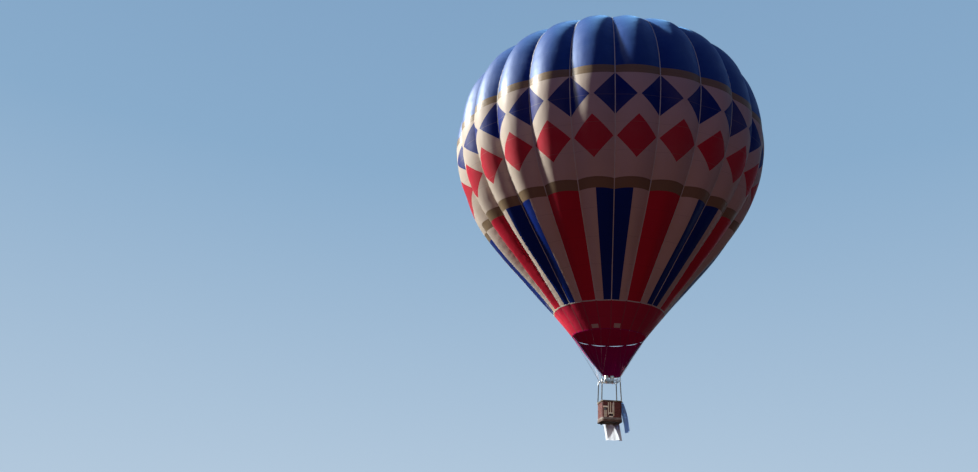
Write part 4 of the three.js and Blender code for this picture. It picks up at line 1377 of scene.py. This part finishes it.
def rounded_path(half_x, half_y, corner, count, shift=0.0):
    """Even steps round a rounded rectangle from the middle of -Y, as places and outward directions."""
    straight_x = half_x - corner
    straight_y = half_y - corner
    turn = corner * math.pi / 2
    sides = (
        # length, start of a straight or centre of a corner, first direction, whether it bends
        (straight_x, (0.0, -half_y), -90, False), (turn, (straight_x, -straight_y), -90, True),
        (2 * straight_y, (half_x, -straight_y), 0, False), (turn, (straight_x, straight_y), 0, True),
        (2 * straight_x, (straight_x, half_y), 90, False), (turn, (-straight_x, straight_y), 90, True),
        (2 * straight_y, (-half_x, straight_y), 180, False), (turn, (-straight_x, -straight_y), 180, True),
        (straight_x, (-straight_x, -half_y), 270, False),
    )
    whole = sum(side[0] for side in sides)
    places = []
    directions = []
    for step in range(count):
        along = (step + shift) * whole / count % whole
        for length, start, facing, bends in sides:
            if along <= length:
                break
            along -= length
        angle = math.radians(facing) + (along / corner if bends else 0)
        outward = (math.cos(angle), math.sin(angle))
        if bends:
            place = (start[0] + corner * outward[0], start[1] + corner * outward[1])
        else:
            place = (start[0] - along * outward[1], start[1] + along * outward[0])
        places.append(place)
        directions.append(outward)
    return np.array(places), np.array(directions)


def wall_path(out, count, shift=0.0):
    """A path round the wall, this far outside its outer face."""
    return rounded_path(BASKET_HALF[0] + out, BASKET_HALF[1] + out, BASKET_CORNER + out, count, shift)


def split_runs(keep):
    """Runs of neighbours to keep on a closed path, as lists of places. One whole lap comes back as None."""
    count = len(keep)
    if keep.all():
        return None
    first = int(np.argmin(keep))
    runs = []
    run = []
    for step in range(1, count + 1):
        place = (first + step) % count
        if keep[place]:
            run.append(place)
        elif run:
            runs.append(run)
            run = []
    return [item for item in runs if len(item) > 2]


def crosses(hole, x, y, margin):
    """Whether a place on the wall is within the width of a step hole."""
    return (np.abs(x - hole["x"]) < hole["width"] / 2 + margin) & (np.abs(y) > END_WALLS)


def outside_holes(places, height):
    keep = np.ones(len(places), bool)
    for hole in STEP_HOLES:
        if abs(height - hole["z"]) < hole["height"] / 2:
            keep &= ~crosses(hole, places[:, 0], places[:, 1], 0.006)
    return keep


def make_weave():
    """Courses of cane that pass the stakes by turns, with a band of two thicker ones now and then."""
    count = STAKE_COUNT * STEPS_PER_STAKE
    places, outward = wall_path(-WALL / 2, count)
    phase = np.arange(count) / STEPS_PER_STAKE * math.pi
    canes = Pieces()
    for course in range(int((WEAVE_TOP - WEAVE_FOOT) / CANE_PITCH) + 1):
        height = WEAVE_FOOT + course * CANE_PITCH
        band = course % COURSES_TO_BAND in (0, 1)
        sway = CANE_SWAY * (1.15 if band else 1.0) * np.cos(phase + math.pi * course)
        lift = 0.0012 * np.sin(phase * 0.37 + 2.1 * course) + (0.003 * np.sin(phase) if band else 0)
        path = np.column_stack([places + outward * sway[:, None], height + lift])
        radius = CANE_RADIUS * (1.12 if band else 1.0) * rng.uniform(0.93, 1.05)
        runs = split_runs(outside_holes(places, height))
        for run in runs or [slice(None)]:
            add_tube(canes, path[run], radius, 5, runs is None)
    canes.build("weave", wicker, "wicker", "basket_walls")


def make_stakes():
    """Upright stakes inside the weave, cut where a step hole crosses them."""
    stakes = Pieces()
    for x, y in wall_path(-WALL / 2, STAKE_COUNT, 0.5)[0]:
        ends = [WALL_FOOT + 0.003, WEAVE_TOP + 0.012]
        for hole in STEP_HOLES:
            if crosses(hole, x, y, 0.004):
                gap = hole["height"] / 2 + 0.002
                ends[1:1] = [hole["z"] - gap, hole["z"] + gap]
        for low, high in zip(ends[::2], ends[1::2]):
            add_tube(stakes, [(x, y, low), (x, y, high)], STAKE_RADIUS, 6)
    stakes.build("stakes", wicker, "wicker", "basket_walls", crease=60)


def make_lining():
    """The dense inner weave, which closes the wall between the canes."""
    faces = [wall_path(out - WALL / 2, LINING_STEPS)[0] for out in (0.002, -0.002)]
    levels = [WALL_FOOT + 0.002]
    for hole in sorted(STEP_HOLES, key=lambda item: item["z"]):
        levels += [hole["z"] - hole["height"] / 2, hole["z"] + hole["height"] / 2]
    levels.append(WEAVE_TOP + 0.01)
    lining = Pieces()
    for low, high in zip(levels[:-1], levels[1:]):
        runs = split_runs(outside_holes(faces[0], (low + high) / 2))
        for run in runs or [slice(None)]:
            outer, inner = (
                np.array([[(x, y, level) for x, y in face[run]] for level in (low, high)]) for face in faces
            )
            add_sheet(lining, outer, inner, None, runs is None)
    lining.build("wall_lining", inner_wicker, "wicker", "basket_walls", crease=60)


def make_hole_frames():
    """Bound frames round the step holes, through the wall."""
    frames = Pieces()
    deep = WALL + 0.012
    for hole in STEP_HOLES:
        x, z = hole["x"], hole["z"]
        width, height = hole["width"], hole["height"]
        flat = (width + 2 * HOLE_FRAME, deep, HOLE_FRAME)
        upright = (HOLE_FRAME, deep, height + 0.004)
        for side in (-1, 1):
            y = side * (BASKET_HALF[1] - WALL / 2)
            for step in (-1, 1):
                add_block(frames, (x, y, z + step * (height + HOLE_FRAME) / 2), flat, 0.006)
                add_block(frames, (x + step * (width + HOLE_FRAME) / 2, y, z), upright, 0.006)
    frames.build("hole_frames", rim_leather, "rim_leather", "basket_walls", crease=35)


def make_hide_guards():
    """Pale staves and guards on the front and back walls."""
    pale = Pieces()
    for side in (-1, 1):
        y = side * (BASKET_HALF[1] + 0.0035)
        for guard in FOOT_GUARDS:
            add_block(pale, (guard["x"], y, guard["z"]), (guard["width"], 0.007, guard["height"]), 0.002)
        for stave in PALE_STAVES:
            middle = (stave["low"] + stave["high"]) / 2
            size = (stave["width"], 0.008, stave["high"] - stave["low"])
            add_block(pale, (stave["x"], y, middle), size, 0.003)
    pale.build("hide_guards", pale_leather, "wicker", "basket_walls", crease=35)


def sweep_ring(pieces, section, path, wave):
    """A closed section of (out, height) pairs, carried round a path. Wave is the share that it swells by."""
    places, outward = path
    count = len(places)
    angles = turns(count)
    swell = 1 + wave * np.sin(angles * 44)
    rings = []
    for out, height in (*section, section[0]):
        flat = places + outward * (out * swell)[:, None]
        rings.append(np.column_stack([flat, np.full(count, height)]))
    around, up = np.meshgrid(angles, np.linspace(0, 1, len(rings)))
    pieces.add(np.array(rings), grid_faces(len(rings), count, True), np.stack([around, up], -1))


def make_rim():
    """A roll of padded leather laced over the wall's top."""
    roll = Pieces()
    x, z, _ = circle(1).T
    out = RIM_HALF[0] * np.sign(x) * np.abs(x) ** 0.75
    height = RIM_MIDDLE + RIM_HALF[1] * np.sign(z) * np.abs(z) ** 0.75
    sweep_ring(roll, list(zip(out, height)), wall_path(-WALL / 2, SWEEP_STEPS), 0.035)
    roll.build("rim_roll", rim_leather, "rim_leather", "top_rim")
    lacing = Pieces()
    for (x, y), (away_x, away_y) in zip(*wall_path(-WALL / 2, RIM_LACES)):
        loop = [
            (x + away_x * out, y + away_y * out, RIM_MIDDLE + up)
            for out, up in ((0.0445, -0.046), (0.0475, -0.01), (0.0455, 0.022))
        ]
        add_tube(lacing, loop, 0.0028, 6)
    lacing.build("rim_lacing", pale_leather, "rim_leather", "top_rim", crease=50)


def make_belt():
    """A belt of grey hide round the wall above the skirt."""
    belt = Pieces()
    sweep_ring(belt, BELT_SECTION, wall_path(0, SWEEP_STEPS), 0.1)
    belt.build("wall_belt", belt_leather, "skirt_leather", "basket_walls", crease=50)


def make_skirt():
    """Hide stitched round the foot of the wall, flaring a little at the bottom."""
    hide = Pieces()
    half_x, half_y = BASKET_HALF
    path = rounded_path(half_x + SKIRT_OUT, half_y + SKIRT_OUT, BASKET_CORNER, SWEEP_STEPS)
    sweep_ring(hide, SKIRT_SECTION, path, 0.12)
    hide.build("foot_hide", skirt_leather, "skirt_leather", "basket_skirt", crease=50)
    stitches = Pieces()
    path = rounded_path(half_x + STITCH_OUT, half_y + STITCH_OUT, BASKET_CORNER, STITCH_COUNT)
    for place, away in zip(*path):
        base = np.array([*place, STITCH_HEIGHT])
        along = 0.007 * np.array([-away[1], away[0], 0.0])
        add_tube(stitches, [base - along, base + (*away * 0.0015, 0.002), base + along], 0.0018, 5)
    stitches.build("foot_stitches", pale_leather, "skirt_leather", "basket_skirt", crease=50)


# Fuel cylinders
CYLINDER_RADIUS = 0.145
CYLINDER_AT = (0.335, 0.47)
CYLINDER_FOOT = -4.3995
CYLINDER_HEIGHT = 0.84
CYLINDER_OUTLINE = (
    # radius, height above the foot
    (0, 0.012), (0.11, 0.012), (0.125, 0.0), (0.131, 0.002), (0.132, 0.03), (0.141, 0.045), (0.145, 0.07),
    (0.145, 0.41), (0.1465, 0.415), (0.1465, 0.425), (0.145, 0.43), (0.145, 0.755), (0.141, 0.785),
    (0.128, 0.81), (0.105, 0.828), (0.07, 0.838), (0.04, 0.841), (0, 0.841),
)
COLLAR_OUTLINE = (
    # radius, height above the top
    (0.09, -0.01), (0.095, -0.01), (0.095, 0.076), (0.0925, 0.08), (0.09, 0.076),
)
TAP_RISE = 0.066


def cylinder_body(foot, top):
    """The tank with its foot ring and weld bead, and the collar round its valve."""
    pieces = Pieces()
    add_lathe(pieces, CYLINDER_OUTLINE, foot, 48)
    add_lathe(pieces, COLLAR_OUTLINE, top, 48)
    return pieces


def cylinder_valve(top, x, y):
    """The valve's body, its outlet towards the middle of the basket, and the contents gauge."""
    stem = ((0, 0), (0.022, 0), (0.022, 0.018), (0.013, 0.022), (0.013, 0.055), (0, 0.055))
    outlet = ((0, 0), (0.012, 0), (0.012, 0.03), (0.016, 0.032), (0.016, 0.046), (0, 0.046))
    gauge = ((0, 0), (0.02, 0), (0.023, 0.003), (0.023, 0.012), (0, 0.013))
    pieces = Pieces()
    add_lathe(pieces, stem, top, 12)
    add_lathe(pieces, outlet, top + (0, 0, 0.032), 12, (-x, 0, 0))
    add_lathe(pieces, gauge, top - (x * 0.045, y * 0.04, 0), 24)
    return pieces


def cylinder_straps(foot):
    pieces = Pieces()
    outer = CYLINDER_RADIUS + 0.0035
    for low, high in ((0.2, 0.24), (0.6, 0.64)):
        strap = ((CYLINDER_RADIUS, low), (outer, low), (outer, high), (CYLINDER_RADIUS, high))
        add_lathe(pieces, strap, foot, 48)
    return pieces


def cylinder_tap(top):
    """A hand wheel with six lobes and three spokes."""
    pieces = Pieces()
    lobes = 0.026 + 0.003 * np.cos(6 * turns(24))
    wheel = top + (0, 0, TAP_RISE)
    add_tube(pieces, circle(lobes) + wheel, 0.006, 8, True)
    for angle in (0.4, 2.5, 4.6):
        add_tube(pieces, [wheel, wheel + (0.026 * math.cos(angle), 0.026 * math.sin(angle), 0)], 0.004, 6)
    add_tube(pieces, [wheel - (0, 0, 0.012), wheel + (0, 0, 0.006)], 0.009, 10)
    return pieces


def make_cylinders():
    for (x, y), corner in zip(CORNERS, CORNER_NAMES):
        foot = np.array([x * CYLINDER_AT[0], y * CYLINDER_AT[1], CYLINDER_FOOT])
        top = foot + (0, 0, CYLINDER_HEIGHT)
        for name, pieces, material, crease in (
            # the cylinders' aluminium is painted darker, to stand in for the shade inside the basket
            ("cylinder", cylinder_body(foot, top), shade_darkened_aluminium, 35),
            ("tank_valve", cylinder_valve(top, x, y), brass, 35),
            ("strap", cylinder_straps(foot), black_webbing, 35),
            ("tap", cylinder_tap(top), red_enamel, 40),
        ):
            node = f"fuel_cylinder_{corner}"
            pieces.build(f"{name}_{corner}", material, "cylinder_aluminium", node, crease=crease)


# Hanging cloths
CLOTH_TOP = RIM_TOP - 0.018
CLOTH_SHEET = 0.004
CLOTH_GAP = 0.0265
CLOTH_TIES = 7
HEM_CORD = 0.0045
CURL = {"from": 0.62, "along": 0.10, "out": 0.17}
CLOTHS = (
    # half widths at the head and the foot, drop, outward lift and sideways shift of the foot, in metres
    # the side cloth's blue colour is painted sky light on a white cloth
    {"name": "side_cloth", "side": "x", "head": 0.45, "foot": 0.62, "drop": 1.46, "lift": 0.35,
     "shift": 0.0, "curve": 0.55, "flat": (1.24, 1.53), "area": 1.6, "material": sky_tinted_cloth},
    {"name": "back_cloth", "side": "y", "head": 0.46, "foot": 0.45, "drop": 1.80, "lift": 0.33,
     "shift": -0.38, "curve": 1.3, "flat": (1.06, 2.0), "area": 2.05, "material": white_cloth},
)
FLAP = {"tip": -0.16, "tip_down": 0.33, "left": 0.67, "right": -0.51, "fall": 0.14, "depth": 0.5,
        "power": 1.15}
CLOTH_ROWS = 84
CLOTH_COLUMNS = 100


def flap(across, down):
    """A loose fold in the back cloth, which the wind blows forward below its tip.

    Gives the place across and the fold's depth. One column of the sheet follows the fold's ridge.
    """
    tip = FLAP["tip"]
    open_by = np.clip((down - FLAP["tip_down"]) / (1 - FLAP["tip_down"]), 1e-6, 1)
    left = tip + (FLAP["left"] - tip) * open_by
    ridge = tip + (FLAP["right"] - tip) * open_by
    before = (across + 1) * (ridge + 1) / (tip + 1) - 1
    beyond = 1 - (1 - across) * (1 - ridge) / (1 - tip)
    across = np.where(across < tip, before, beyond)
    rise = np.clip((left - across) / (left - ridge), 0, 1)
    fall = np.clip(1 - (ridge - across) / (FLAP["fall"] * open_by), 0, 1) ** 1.5
    return across, FLAP["depth"] * open_by ** FLAP["power"] * np.minimum(rise, fall)


def cloth_points(cloth, across, down, out=0.0):
    """Across runs from -1 to 1 seen from outside, down from 0 at the rim to 1 at the foot."""
    on_back = cloth["side"] == "y"
    depth = 0.0
    if on_back:
        across, depth = flap(across, down)
    half = cloth["head"] + (cloth["foot"] - cloth["head"]) * down
    along = across * half + cloth["shift"] * down
    ripple = 0.030 * down**0.8 * np.sin(5.2 * across + 1.5 * down + 0.6)
    ripple += 0.014 * down * np.sin(11.0 * across - 2.4 * down)
    ripple += 0.010 * np.sin(math.pi * down) * np.sin(7.0 * down + 2.0 * across)
    reach = cloth["lift"] * down ** cloth["curve"] + ripple + 0.001 + out
    reach = reach + BASKET_HALF[on_back] + CLOTH_GAP
    height = CLOTH_TOP - cloth["drop"] * down - 0.012 * down * np.cos(4.0 * across)
    if not on_back:
        return np.stack([reach, along, height], -1)
    curl = np.clip((across - CURL["from"]) / (1 - CURL["from"]), 0, 1) ** 1.5
    curl = curl * smooth_step(down, 0.03, 0.35)
    return np.stack([-along + CURL["along"] * curl, reach + CURL["out"] * curl - depth, height], -1)


def cloth_sheet(cloth, across, down):
    """The cloth itself, with its thickness laid along its normals."""
    pieces = Pieces()
    grid_across, grid_down = np.meshgrid(across, down[::-1])
    inner = cloth_points(cloth, grid_across, grid_down)
    outward = np.cross(np.gradient(inner, axis=1), np.gradient(inner, axis=0))
    outward /= np.linalg.norm(outward, axis=-1, keepdims=True)
    places = np.stack([grid_across, grid_down * cloth["drop"]], -1)
    add_sheet(pieces, inner + CLOTH_SHEET * outward, inner, places)
    return pieces


def cloth_hem(cloth, across, down):
    """A cord in the foot and in both side edges."""
    pieces = Pieces()
    for edge_across, edge_down in ((across, 1), (-1, down), (1, down)):
        edge = np.broadcast_arrays(np.asarray(edge_across, float), np.asarray(edge_down, float))
        add_tube(pieces, cloth_points(cloth, *edge, CLOTH_SHEET / 2), HEM_CORD, 6)
    return pieces


def cloth_ties(cloth):
    """Short lines from the cloth's head over the rim."""
    pieces = Pieces()
    inward = np.array([-1.0, 0, 0] if cloth["side"] == "x" else [0, -1.0, 0])
    for place in np.linspace(-0.96, 0.96, CLOTH_TIES):
        start = cloth_points(cloth, np.array(place), np.array(0.012), 0.006)
        steps = ((0, 0), (-0.004, 0.03), (0.02, 0.062), (0.05, 0.066))
        add_tube(pieces, [start + inward * over + (0, 0, up) for over, up in steps], 0.004, 8)
    return pieces


def make_cloths():
    across = np.linspace(-1, 1, CLOTH_COLUMNS + 1)
    down = np.linspace(0, 1, CLOTH_ROWS + 1)
    for cloth in CLOTHS:
        name = cloth["name"]
        material = cloth["material"]
        pieces = cloth_sheet(cloth, across, down)
        sheet = pieces.build(f"{name}_sheet", material, "white_cloth", name, crease=SHEET_CREASE)
        hem = cloth_hem(cloth, across, down)
        hem_object = hem.build(f"{name}_hem", material, "white_cloth", name, crease=60)
        ties = cloth_ties(cloth)
        tie_object = ties.build(f"{name}_ties", white_line, "white_cloth", name, crease=50)


# Materials on the parts that stay as they were packed
def dress(name, material):
    part = bpy.data.objects[name]
    if not part.data.materials:
        part.data.materials.append(material)
    for slot in part.material_slots:
        slot.material = material


def dress_nodes():
    for corner in CORNER_NAMES:
        dress(f"flying_wires_{corner}", wire_steel)
    dress("burner_frame", frame_steel)
    dress("gimbal_ring", frame_steel)
    # the whole floor wears plywood painted dark, to stand in for shade under the basket
    dress("basket_floor", plywood)
    dress("runner_left", runner_wood)
    dress("runner_right", runner_wood)


make_rings()
make_stripes()
make_crown()
make_tapes()
make_hoops()
make_valve()
make_valve_lines()
make_mouth_eyes()
make_mouth_patches()
make_scoop()
make_frame_fittings()
make_cans()
make_manifold()
make_brass_fittings()
make_levers()
make_dials()
make_uprights()
make_weave()
make_stakes()
make_lining()
make_hole_frames()
make_hide_guards()
make_rim()
make_belt()
make_skirt()
make_cylinders()
make_cloths()
dress_nodes()
